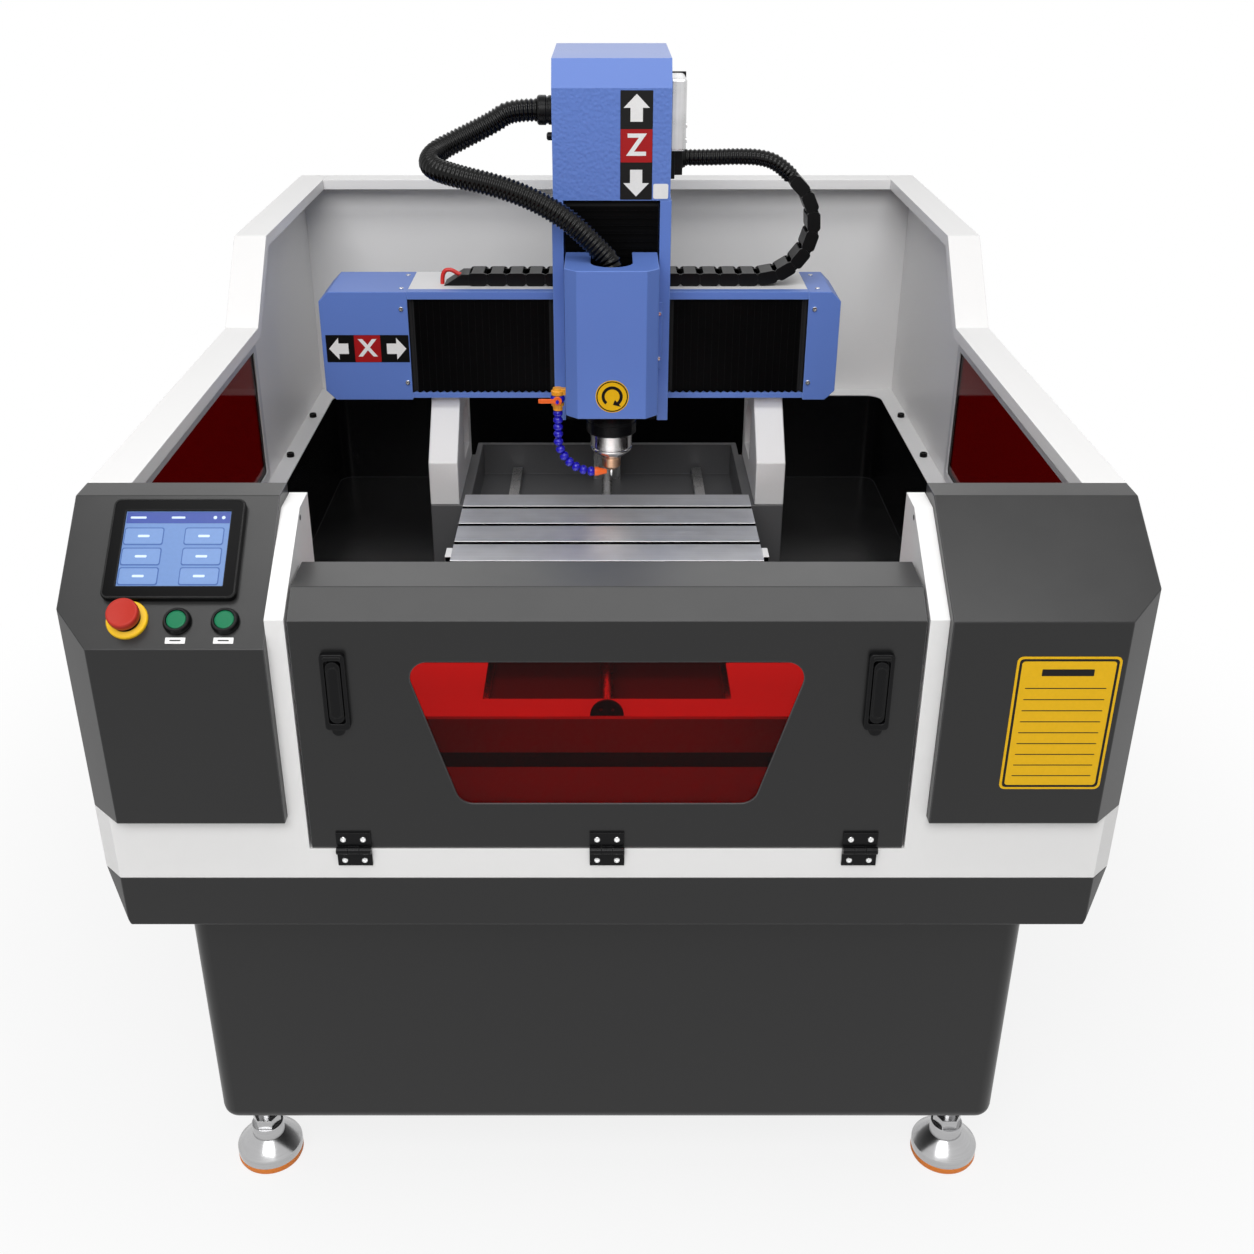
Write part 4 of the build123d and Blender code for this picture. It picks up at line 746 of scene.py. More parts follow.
class Shape:
    """A mesh under construction."""

    def __init__(self) -> None:
        """Start empty."""
        self.bm = bmesh.new()

    def level(self, outline: Sequence[Flat], place: Matrix, height: float) -> list[bmesh.types.BMVert]:
        """Add an outline's points at one height.

        Args:
            outline: Points of the drawing.
            place: Where the drawing lies.
            height: Height over the drawing.

        Returns:
            The new points.
        """
        return [self.bm.verts.new(place @ Vector((u, v, height))) for u, v in outline]

    def wall(self, low: Sequence[bmesh.types.BMVert], high: Sequence[bmesh.types.BMVert]) -> None:
        """Join two rings of as many points by faces.

        Args:
            low: First ring.
            high: Second ring.
        """
        count = len(low)
        for i in range(count):
            j = (i + 1) % count
            self.bm.faces.new((low[i], low[j], high[j], high[i]))

    def block(self, low: Point, high: Point) -> "Shape":
        """Add a box between two corners.

        Args:
            low: Lowest corner.
            high: Highest corner.

        Returns:
            This shape.
        """
        made = bmesh.ops.create_cube(self.bm, size=1.0)["verts"]
        size = Vector(high) - Vector(low)
        middle = (Vector(high) + Vector(low)) / 2
        for vert in made:
            vert.co = Vector(c * s for c, s in zip(vert.co, size)) + middle
        return self

    def prism(self, outline: Sequence[Flat], place: Matrix, depth: float, start: float = 0.0) -> "Shape":
        """Add a flat outline raised along the place's third axis.

        Args:
            outline: Counter-clockwise points.
            place: Where the drawing lies.
            depth: How far it rises.
            start: Height at which it begins.

        Returns:
            This shape.
        """
        low = self.level(outline, place, start)
        high = self.level(outline, place, start + depth)
        self.bm.faces.new(list(reversed(low)))
        self.bm.faces.new(high)
        self.wall(low, high)
        return self

    def ring(self, outer: Sequence[Flat], inner: Sequence[Flat], place: Matrix, depth: float,
             start: float = 0.0) -> "Shape":
        """Add a flat frame between two outlines with the same number of points.

        Args:
            outer: Outer outline, counter-clockwise.
            inner: Inner outline, counter-clockwise.
            place: Where the drawing lies.
            depth: How far it rises.
            start: Height at which it begins.

        Returns:
            This shape.
        """
        levels = []
        for height in (start, start + depth):
            for outline in (outer, inner):
                levels.append(self.level(outline, place, height))
        low_out, low_in, high_out, high_in = levels
        count = len(outer)
        for i in range(count):
            j = (i + 1) % count
            self.bm.faces.new((low_out[i], low_out[j], high_out[j], high_out[i]))
            self.bm.faces.new((low_in[j], low_in[i], high_in[i], high_in[j]))
            self.bm.faces.new((high_out[i], high_out[j], high_in[j], high_in[i]))
            self.bm.faces.new((low_out[j], low_out[i], low_in[i], low_in[j]))
        return self

    def lathe(self, profile: Sequence[Flat], place: Matrix, steps: int = 40) -> "Shape":
        """Add a turned form.

        Args:
            profile: Radius and height of each ring, from the bottom to the top.
            place: Where the axis stands.
            steps: Segments round the axis.

        Returns:
            This shape.
        """
        rings = []
        for radius, height in profile:
            outline = circle(radius, steps) if radius > 0.0 else [(0.0, 0.0)]
            rings.append(self.level(outline, place, height))
        for low, high in zip(rings, rings[1:]):
            for i in range(steps):
                j = (i + 1) % steps
                corners = [low[i % len(low)], low[j % len(low)], high[j % len(high)], high[i % len(high)]]
                unique = list(dict.fromkeys(corners))
                if len(unique) > 2:
                    self.bm.faces.new(unique)
        for level, turn in ((rings[0], True), (rings[-1], False)):
            if len(level) > 1:
                self.bm.faces.new(list(reversed(level)) if turn else level)
        return self

    def head(self, recess: Recess, radius: float, height: float) -> "Shape":
        """Add a screw head at zero that looks along the third axis.

        Args:
            recess: Drive in its face.
            radius: Head radius.
            height: Head height.

        Returns:
            This shape.
        """
        steps = 18
        if recess is Recess.HEX:
            drive = circle(radius * 0.55, 6)
        else:
            arm, half = radius * 0.55, radius * 0.15
            drive = []
            for turn in range(4):
                spin = Matrix.Rotation(turn * math.pi / 2, 2)
                drive += [tuple(spin @ Vector(p)) for p in ((arm, -half), (arm, half), (half, half))]
        sink = height * 0.45
        levels = [(radius, 0.0), (radius, height * 0.7), (radius * 0.86, height)]
        rings = [[self.bm.verts.new((u, v, z)) for u, v in circle(r, steps)] for r, z in levels]
        for low, high in zip(rings, rings[1:]):
            self.wall(low, high)
        self.bm.faces.new(list(reversed(rings[0])))
        top = [self.bm.verts.new((u, v, height)) for u, v in drive]
        floor = [self.bm.verts.new((u, v, height - sink)) for u, v in drive]
        count = len(drive)
        rim = [self.bm.edges.new((top[i], top[(i + 1) % count])) for i in range(count)]
        outer = [self.bm.edges.get((rings[2][i], rings[2][(i + 1) % steps])) for i in range(steps)]
        bmesh.ops.triangle_fill(self.bm, use_beauty=True, edges=rim + outer)
        for i in range(count):
            j = (i + 1) % count
            self.bm.faces.new((top[j], top[i], floor[i], floor[j]))
        self.bm.faces.new(floor)
        bmesh.ops.recalc_face_normals(self.bm, faces=self.bm.faces)
        return self

    def mesh(self, name: str) -> bpy.types.Mesh:
        """Turn the shape into mesh data.

        Args:
            name: Name of the mesh.

        Returns:
            The mesh.
        """
        made = bpy.data.meshes.new(name)
        self.bm.to_mesh(made)
        self.bm.free()
        return made


def show(name: str, mesh: bpy.types.Mesh) -> bpy.types.Object:
    """Put mesh data into the scene.

    Args:
        name: Name of the object.
        mesh: Its mesh.

    Returns:
        The object, at the origin.
    """
    made = bpy.data.objects.new(name, mesh)
    bpy.context.scene.collection.objects.link(made)
    return made


def final_mesh(made: bpy.types.Object) -> bpy.types.Mesh:
    """Make plain mesh data of an object as its modifiers leave it.

    Args:
        made: Mesh, curve or text object.

    Returns:
        The mesh.
    """
    bpy.context.view_layer.update()
    graph = bpy.context.evaluated_depsgraph_get()
    return bpy.data.meshes.new_from_object(made.evaluated_get(graph), depsgraph=graph)


def set_inputs(modifier: bpy.types.Modifier, values: dict[str, object]) -> None:
    """Fill the inputs of a Geometry Nodes modifier.

    Args:
        modifier: Modifier with its tree set.
        values: Input name to value.
    """
    for item in modifier.node_group.interface.items_tree:
        if item.in_out == "INPUT" and item.name in values:
            modifier[item.identifier] = values[item.name]


def settle(piece: bpy.types.Object) -> None:
    """Replace a piece's mesh by what its modifiers make of it.

    Args:
        piece: Object with live modifiers.
    """
    made = final_mesh(piece)
    piece.modifiers.clear()
    made.name = piece.name
    piece.data = made


def soften(piece: bpy.types.Object, width: float, segments: int = 2, angle: float = EDGE_ANGLE) -> None:
    """Round a piece's edges and shade it smoothly.

    Args:
        piece: Object to finish.
        width: Edge rounding, or zero for none.
        segments: Faces across each rounded edge.
        angle: Smallest edge angle that is rounded, in degrees.
    """
    piece.data.polygons.foreach_set("use_smooth", [True] * len(piece.data.polygons))
    if width <= 0.0:
        piece.data.set_sharp_from_angle(angle=math.radians(angle))
        return
    bevel = piece.modifiers.new("round", "BEVEL")
    bevel.width = width
    bevel.segments = segments
    bevel.limit_method = "ANGLE"
    bevel.angle_limit = math.radians(angle)
    bevel.use_clamp_overlap = True
    weigh = piece.modifiers.new("weigh", "WEIGHTED_NORMAL")
    weigh.keep_sharp = True
    settle(piece)


class Workshop:
    """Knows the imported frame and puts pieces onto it."""

    def __init__(self) -> None:
        """Load the frame and read its bodies."""
        self.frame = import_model()
        self.start_box = [list(corner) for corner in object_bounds()]
        bodies = self.frame["record"]["behaviour"]["bodies"]
        self.body_of = {node: body for body, nodes in bodies.items() for node in nodes}

    def add(self, piece: bpy.types.Object, finish: Finish, body: Body | str,
            replaces: Iterable[str] = ()) -> bpy.types.Object:
        """Dress a new piece and fix it to a body.

        Args:
            piece: Finished object.
            finish: Its surface.
            body: Body it moves with.
            replaces: Solids that it stands for.

        Returns:
            The piece.
        """
        piece.data.materials.clear()
        piece.data.materials.append(finish.material())
        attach(piece, body.value if isinstance(body, Body) else body)
        for node in replaces:
            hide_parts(node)
        LOG.info("%s on %s", piece.name, body)
        return piece

    def make(self, shape: Shape, name: str, finish: Finish, body: Body | str, bevel: float = 0.0,
             replaces: Iterable[str] = (), segments: int = 2,
             angle: float = EDGE_ANGLE) -> bpy.types.Object:
        """Finish a shape as a piece.

        Args:
            shape: Shape to turn into an object.
            name: Piece name.
            finish: Its surface.
            body: Body it moves with.
            bevel: Edge rounding.
            replaces: Solids that it stands for.
            segments: Faces across each rounded edge.
            angle: Smallest edge angle that is rounded or kept sharp.

        Returns:
            The piece.
        """
        piece = show(name, shape.mesh(name))
        soften(piece, bevel, segments, angle)
        return self.add(piece, finish, body, replaces)

    def turned(self, name: str, profile: Sequence[Flat], place: Matrix, steps: int, finish: Finish,
               body: Body, replaces: Iterable[str] = (), angle: float = ROUND_ANGLE) -> bpy.types.Object:
        """Turn a profile as a piece.

        Args:
            name: Piece name.
            profile: Radius and height of each ring, from the bottom to the top.
            place: Where the axis stands.
            steps: Segments round the axis.
            finish: Its surface.
            body: Body it moves with.
            replaces: Solids that it stands for.
            angle: Smallest edge angle that is kept sharp.

        Returns:
            The piece.
        """
        shape = Shape().lathe(profile, place, steps)
        return self.make(shape, name, finish, body, replaces=replaces, angle=angle)

    def raised(self, name: str, outline: Sequence[Flat], place: Matrix, depth: float, finish: Finish,
               body: Body, bevel: float = 0.0) -> bpy.types.Object:
        """Raise one flat outline as a piece.

        Args:
            name: Piece name.
            outline: Counter-clockwise points.
            place: Where the drawing lies.
            depth: How far it rises.
            finish: Its surface.
            body: Body it moves with.
            bevel: Edge rounding.

        Returns:
            The piece.
        """
        return self.make(Shape().prism(outline, place, depth), name, finish, body, bevel)

    def screws(self, name: str, places: Sequence[tuple[Point, Point]], radius: float, height: float,
               recess: Recess, finish: Finish, body: Body) -> None:
        """Set a row of screws.

        Args:
            name: Piece name.
            places: Position and direction of each head.
            radius: Head radius.
            height: Head height.
            recess: Drive in the heads.
            finish: Their surface.
            body: Body they sit on.
        """
        heads = Rows("Z").piece(name, Shape().head(recess, radius, height), places, finish)
        self.add(heads, finish, body)

    def copy(self, node: str) -> Shape:
        """Copy a solid as a clean mesh.

        Args:
            node: Name of the solid.

        Returns:
            A shape with flat faces joined.
        """
        shape = Shape()
        shape.bm.from_mesh(self.frame["nodes"][node].data)
        bmesh.ops.remove_doubles(shape.bm, verts=shape.bm.verts, dist=0.01 * MM)
        bmesh.ops.dissolve_limit(shape.bm, angle_limit=math.radians(0.6), use_dissolve_boundaries=False,
                                 verts=shape.bm.verts, edges=shape.bm.edges)
        return shape

    def skin(self, node: str, finish: Finish, bevel: float = 0.0, segments: int = 2,
             angle: float = EDGE_ANGLE) -> bpy.types.Object:
        """Dress a solid with rounded edges and a finish.

        Args:
            node: Name of the solid.
            finish: Its surface.
            bevel: Edge rounding.
            segments: Faces across each rounded edge.
            angle: Smallest edge angle that is rounded or kept sharp.

        Returns:
            The piece that stands for the solid.
        """
        body = self.body_of[node]
        return self.make(self.copy(node), f"{node}_skin", finish, body, bevel, (node,), segments, angle)

    def blended(self, node: str, finish: Finish, near: Body, far: Body, start: Point, end: Point,
                angle: float = EDGE_ANGLE) -> bpy.types.Object:
        """Dress a solid that stretches between two bodies.

        Args:
            node: Name of the solid.
            finish: Its surface.
            near: Body that holds its first end.
            far: Body that holds its last end.
            start: Where the first end is held.
            end: Where the last end is held.
            angle: Smallest edge angle that stays sharp.

        Returns:
            The piece that stands for the solid.
        """
        piece = show(f"{node}_skin", self.copy(node).mesh(node))
        soften(piece, 0.0, angle=angle)
        return self.stretch(piece, finish, near, far, start, end, (node,))

    def stretch(self, piece: bpy.types.Object, finish: Finish, near: Body, far: Body, start: Point,
                end: Point, replaces: Iterable[str] = ()) -> bpy.types.Object:
        """Dress a piece that spans two bodies and bake it in place, fixed to neither.

        Args:
            piece: Finished object.
            finish: Its surface.
            near: Body that holds its first end.
            far: Body that holds its last end.
            start: Where the first end is held; not used.
            end: Where the last end is held; not used.
            replaces: Solids that it stands for.

        Returns:
            The piece.
        """
        piece.data.materials.clear()
        piece.data.materials.append(finish.material())
        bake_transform(piece)
        for node in replaces:
            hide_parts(node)
        LOG.info("%s between %s and %s", piece.name, near.value, far.value)
        return piece


class Rows:
    """Geometry Nodes tree that repeats a template on marked points."""

    def __init__(self, axis: str) -> None:
        """Build or find the tree.

        Args:
            axis: Template axis that follows each point's direction.
        """
        self.name = f"repeat_along_{axis.lower()}"
        self.tree = bpy.data.node_groups.get(self.name) or self.build(axis)

    def build(self, axis: str) -> bpy.types.NodeTree:
        """Build the tree.

        Args:
            axis: Template axis that follows each point's direction.

        Returns:
            The tree, with inputs Template, Size and Finish.
        """
        tree = bpy.data.node_groups.new(self.name, "GeometryNodeTree")
        face = tree.interface
        face.new_socket("Geometry", in_out="INPUT", socket_type="NodeSocketGeometry")
        face.new_socket("Template", in_out="INPUT", socket_type="NodeSocketObject")
        face.new_socket("Size", in_out="INPUT", socket_type="NodeSocketFloat").default_value = 1.0
        face.new_socket("Finish", in_out="INPUT", socket_type="NodeSocketMaterial")
        face.new_socket("Geometry", in_out="OUTPUT", socket_type="NodeSocketGeometry")
        graph = Graph(tree)
        given = graph.add("NodeGroupInput")
        template = graph.add("GeometryNodeObjectInfo", {"Object": given.outputs["Template"]})
        facing = graph.add("GeometryNodeInputNamedAttribute", {"Name": "facing"}, data_type="FLOAT_VECTOR")
        turn = graph.add("FunctionNodeAlignRotationToVector", {"Vector": facing.outputs[0]}, axis=axis)
        placed = graph.add("GeometryNodeInstanceOnPoints", {
            "Points": given.outputs["Geometry"],
            "Instance": template.outputs["Geometry"],
            "Rotation": turn.outputs[0],
            "Scale": given.outputs["Size"],
        })
        real = graph.add("GeometryNodeRealizeInstances", {"Geometry": placed.outputs[0]})
        dressed = graph.add("GeometryNodeSetMaterial", {
            "Geometry": real.outputs[0], "Material": given.outputs["Finish"]})
        graph.add("NodeGroupOutput", {0: dressed.outputs[0]})
        return tree

    def piece(self, name: str, template: Shape, places: Sequence[tuple[Point, Point]], finish: Finish,
              size: float = 1.0) -> bpy.types.Object:
        """Repeat a template and make the result a plain mesh.

        Args:
            name: Piece name.
            template: Shape to repeat, built round zero.
            places: Position and direction of each copy.
            finish: Surface of the copies.
            size: Scale of the template.

        Returns:
            The piece, not yet on a body.
        """
        pattern = show(f"{name}_pattern", template.mesh(f"{name}_pattern"))
        soften(pattern, 0.0, angle=40.0)
        points = bpy.data.meshes.new(name)
        points.from_pydata([place for place, _ in places], [], [])
        facing = points.attributes.new("facing", "FLOAT_VECTOR", "POINT")
        facing.data.foreach_set("vector", [part for _, way in places for part in way])
        piece = show(name, points)
        repeat = piece.modifiers.new("repeat", "NODES")
        repeat.node_group = self.tree
        set_inputs(repeat, {"Template": pattern, "Size": size, "Finish": finish.material()})
        settle(piece)
        bpy.data.objects.remove(pattern)
        return piece


def conduit_tree() -> bpy.types.NodeTree:
    """Geometry Nodes tree that sweeps a ribbed tube along a curve.

    Returns:
        The tree, with inputs Radius, Pitch, Depth and Finish.
    """
    name = "ribbed_conduit"
    if name in bpy.data.node_groups:
        return bpy.data.node_groups[name]
    tree = bpy.data.node_groups.new(name, "GeometryNodeTree")
    face = tree.interface
    face.new_socket("Geometry", in_out="INPUT", socket_type="NodeSocketGeometry")
    for key in ("Radius", "Pitch", "Depth"):
        face.new_socket(key, in_out="INPUT", socket_type="NodeSocketFloat")
    face.new_socket("Finish", in_out="INPUT", socket_type="NodeSocketMaterial")
    face.new_socket("Geometry", in_out="OUTPUT", socket_type="NodeSocketGeometry")
    graph = Graph(tree)
    given = graph.add("NodeGroupInput")
    step = graph.math("DIVIDE", given.outputs["Pitch"], 4.0)
    fine = graph.add("GeometryNodeResampleCurve", {
        "Curve": given.outputs["Geometry"], "Length": step}, mode="LENGTH")
    index = graph.add("GeometryNodeInputIndex").outputs[0]
    wave = graph.math("SINE", graph.math("MULTIPLY", index, math.pi / 2))
    half = graph.math("MULTIPLY", given.outputs["Depth"], 0.5)
    middle = graph.math("SUBTRACT", 1.0, half)
    swell = graph.math("MULTIPLY_ADD", wave, half, middle)
    rim = graph.add("GeometryNodeCurvePrimitiveCircle", {
        "Resolution": 20, "Radius": given.outputs["Radius"]})
    tube = graph.add("GeometryNodeCurveToMesh", {
        "Curve": fine.outputs[0], "Profile Curve": rim.outputs[0], "Scale": swell, "Fill Caps": True})
    smooth = graph.add("GeometryNodeSetShadeSmooth", {"Geometry": tube.outputs[0]})
    real = graph.add("GeometryNodeRealizeInstances", {"Geometry": smooth.outputs[0]})
    dressed = graph.add("GeometryNodeSetMaterial", {
        "Geometry": real.outputs[0], "Material": given.outputs["Finish"]})
    graph.add("NodeGroupOutput", {0: dressed.outputs[0]})
    return tree


@dataclass
class Cord:
    """Flexible conduit or wire along a route of control points."""

    name: str
    route: list[Point]
    diameter: float
    finish: Finish
    pitch: float = 7.6 * MM
    depth: float = 0.15

    def spline(self) -> bpy.types.Object:
        """Make the route's smooth line.

        Returns:
            A curve object with no thickness.
        """
        curve = bpy.data.curves.new(self.name, "CURVE")
        curve.dimensions = "3D"
        curve.resolution_u = 16
        line = curve.splines.new("NURBS")
        line.points.add(len(self.route) - 1)
        for point, place in zip(line.points, self.route):
            point.co = (*place, 1.0)
        line.order_u = 3
        line.use_endpoint_u = True
        made = bpy.data.objects.new(self.name, curve)
        bpy.context.scene.collection.objects.link(made)
        return made

    def line(self) -> list[Point]:
        """Read points along the smooth line.

        Returns:
            The points, from the first end to the last.
        """
        made = self.spline()
        mesh = final_mesh(made)
        points = [tuple(vert.co) for vert in mesh.vertices]
        bpy.data.meshes.remove(mesh)
        bpy.data.objects.remove(made)
        return points

    def tube(self) -> bpy.types.Object:
        """Sweep the ribbed tube along the line.

        Returns:
            The tube as a mesh object.
        """
        line = self.spline()
        line.name = f"{self.name}_line"
        sweep = line.modifiers.new("sweep", "NODES")
        sweep.node_group = conduit_tree()
        set_inputs(sweep, {"Radius": self.diameter / 2, "Pitch": self.pitch, "Depth": self.depth,
                           "Finish": self.finish.material()})
        mesh = final_mesh(line)
        bpy.data.objects.remove(line)
        mesh.name = self.name
        return show(self.name, mesh)

    def length(self) -> float:
        """Measure the smooth line in metres."""
        points = [Vector(p) for p in self.line()]
        return sum((b - a).length for a, b in zip(points, points[1:]))


@dataclass
class Studio:
    """Camera, floor and light."""

    camera_place: Point = (0.0, -2.2925, 1.752)
    pitch: float = 27.1
    focal_pixels: float = 1420.0
    axis_pixel: float = 607.0
    sensor: float = 36.0
    floor_half: float = 60.0
    floor_colour: Colour = (0.74, 0.74, 0.74)
    near_reach: Flat = (0.8, 2.0)
    near_share: float = 0.84

    def camera(self) -> None:
        """Set the camera at the photograph's view."""
        data = bpy.data.cameras.new("camera")
        data.sensor_width = self.sensor
        data.sensor_fit = "HORIZONTAL"
        data.lens = self.focal_pixels / IMAGE_PIXELS * self.sensor
        data.shift_x = (IMAGE_PIXELS / 2 - self.axis_pixel) / IMAGE_PIXELS
        data.clip_end = 200.0
        camera = bpy.data.objects.new("camera", data)
        camera.location = self.camera_place
        camera.rotation_euler = (math.radians(90.0 - self.pitch), 0.0, 0.0)
        bpy.context.scene.collection.objects.link(camera)
        bpy.context.scene.camera = camera

    def floor(self) -> None:
        """Lay the pale floor, which keeps a soft shadow."""
        half = self.floor_half
        mesh = bpy.data.meshes.new("floor")
        corners = [(-half, -half, 0), (half, -half, 0), (half, half, 0), (-half, half, 0)]
        mesh.from_pydata(corners, [], [(0, 1, 2, 3)])
        floor = show("floor", mesh)
        material = bpy.data.materials.new("pale_floor")
        material.use_nodes = True
        material.node_tree.nodes.clear()
        graph = Graph(material.node_tree)
        matt = graph.add("ShaderNodeBsdfDiffuse", {"Color": rgba(self.floor_colour)})
        glow = graph.add("ShaderNodeEmission", {"Color": rgba(PURE_WHITE), "Strength": 1.0})
        away = graph.add("ShaderNodeVectorMath", {0: graph.place()}, operation="LENGTH")
        near = graph.add("ShaderNodeMapRange", {
            "Value": away.outputs["Value"], "From Min": self.near_reach[0], "From Max": self.near_reach[1],
            "To Min": self.near_share, "To Max": 1.0}, interpolation_type="SMOOTHSTEP")
        share = graph.math("MULTIPLY", self.seen(graph), near.outputs[0])
        mixed = graph.add("ShaderNodeMixShader", {0: share, 1: matt.outputs[0], 2: glow.outputs[0]})
        graph.add("ShaderNodeOutputMaterial", {"Surface": mixed.outputs[0]})
        mesh.materials.append(material)
        floor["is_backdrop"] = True

    def seen(self, graph: Graph) -> Socket:
        """Mask of the rays that show the background.

        Args:
            graph: Graph to add the mask to.

        Returns:
            1 on camera, glossy and transmitted rays.
        """
        path = graph.add("ShaderNodeLightPath")
        some = graph.math("MAXIMUM", path.outputs["Is Camera Ray"], path.outputs["Is Glossy Ray"])
        return graph.math("MAXIMUM", some, path.outputs["Is Transmission Ray"])

    def world(self, fill: float = 0.43) -> None:
        """Set the even white surround.

        Args:
            fill: Strength of the light that it gives to matt surfaces.
        """
        world = bpy.data.worlds.new("surround")
        world.use_nodes = True
        world.node_tree.nodes.clear()
        graph = Graph(world.node_tree)
        strength = graph.spread(self.seen(graph), fill, 1.0)
        back = graph.add("ShaderNodeBackground", {"Color": rgba(PURE_WHITE), "Strength": strength})
        graph.add("ShaderNodeOutputWorld", {"Surface": back.outputs[0]})
        bpy.context.scene.world = world

    def lamp(self, name: str, place: Point, aim: Point, size: Flat, power: float,
             sheen: bool = False) -> None:
        """Hang a soft box.

        Args:
            name: Name of the lamp.
            place: Where it hangs.
            aim: Point that it looks at.
            size: Width and height.
            power: Power in watts.
            sheen: Whether it shows in glossy surfaces only.
        """
        data = bpy.data.lights.new(name, "AREA")
        data.shape = "RECTANGLE"
        data.size, data.size_y = size
        data.energy = power
        lamp = bpy.data.objects.new(name, data)
        lamp.visible_diffuse = not sheen
        lamp.location = place
        lamp.rotation_euler = (Vector(aim) - Vector(place)).to_track_quat("-Z", "Y").to_euler()
        bpy.context.scene.collection.objects.link(lamp)

    def build(self) -> None:
        """Set up the whole studio."""
        bpy.context.scene.view_settings.view_transform = "Standard"
        self.camera()
        self.floor()
        self.world()
        self.lamp("top_box", (0.0, -1.1, 4.2), (0.0, -0.6, 0.9), (3.4, 1.0), 47.0)
        self.lamp("front_box", (-0.4, -3.4, 3.6), (0.0, 0.3, 0.9), (2.8, 2.0), 97.0)
        self.lamp("rear_box", (0.0, 4.0, 3.7), (0.0, -0.6, 0.9), (3.2, 1.6), 20.0, True)


@dataclass
class Assembly:
    """Pieces of the machine that are dressed together."""

    shop: Workshop

    def build(self) -> None:
        """Dress the pieces."""
        raise NotImplementedError


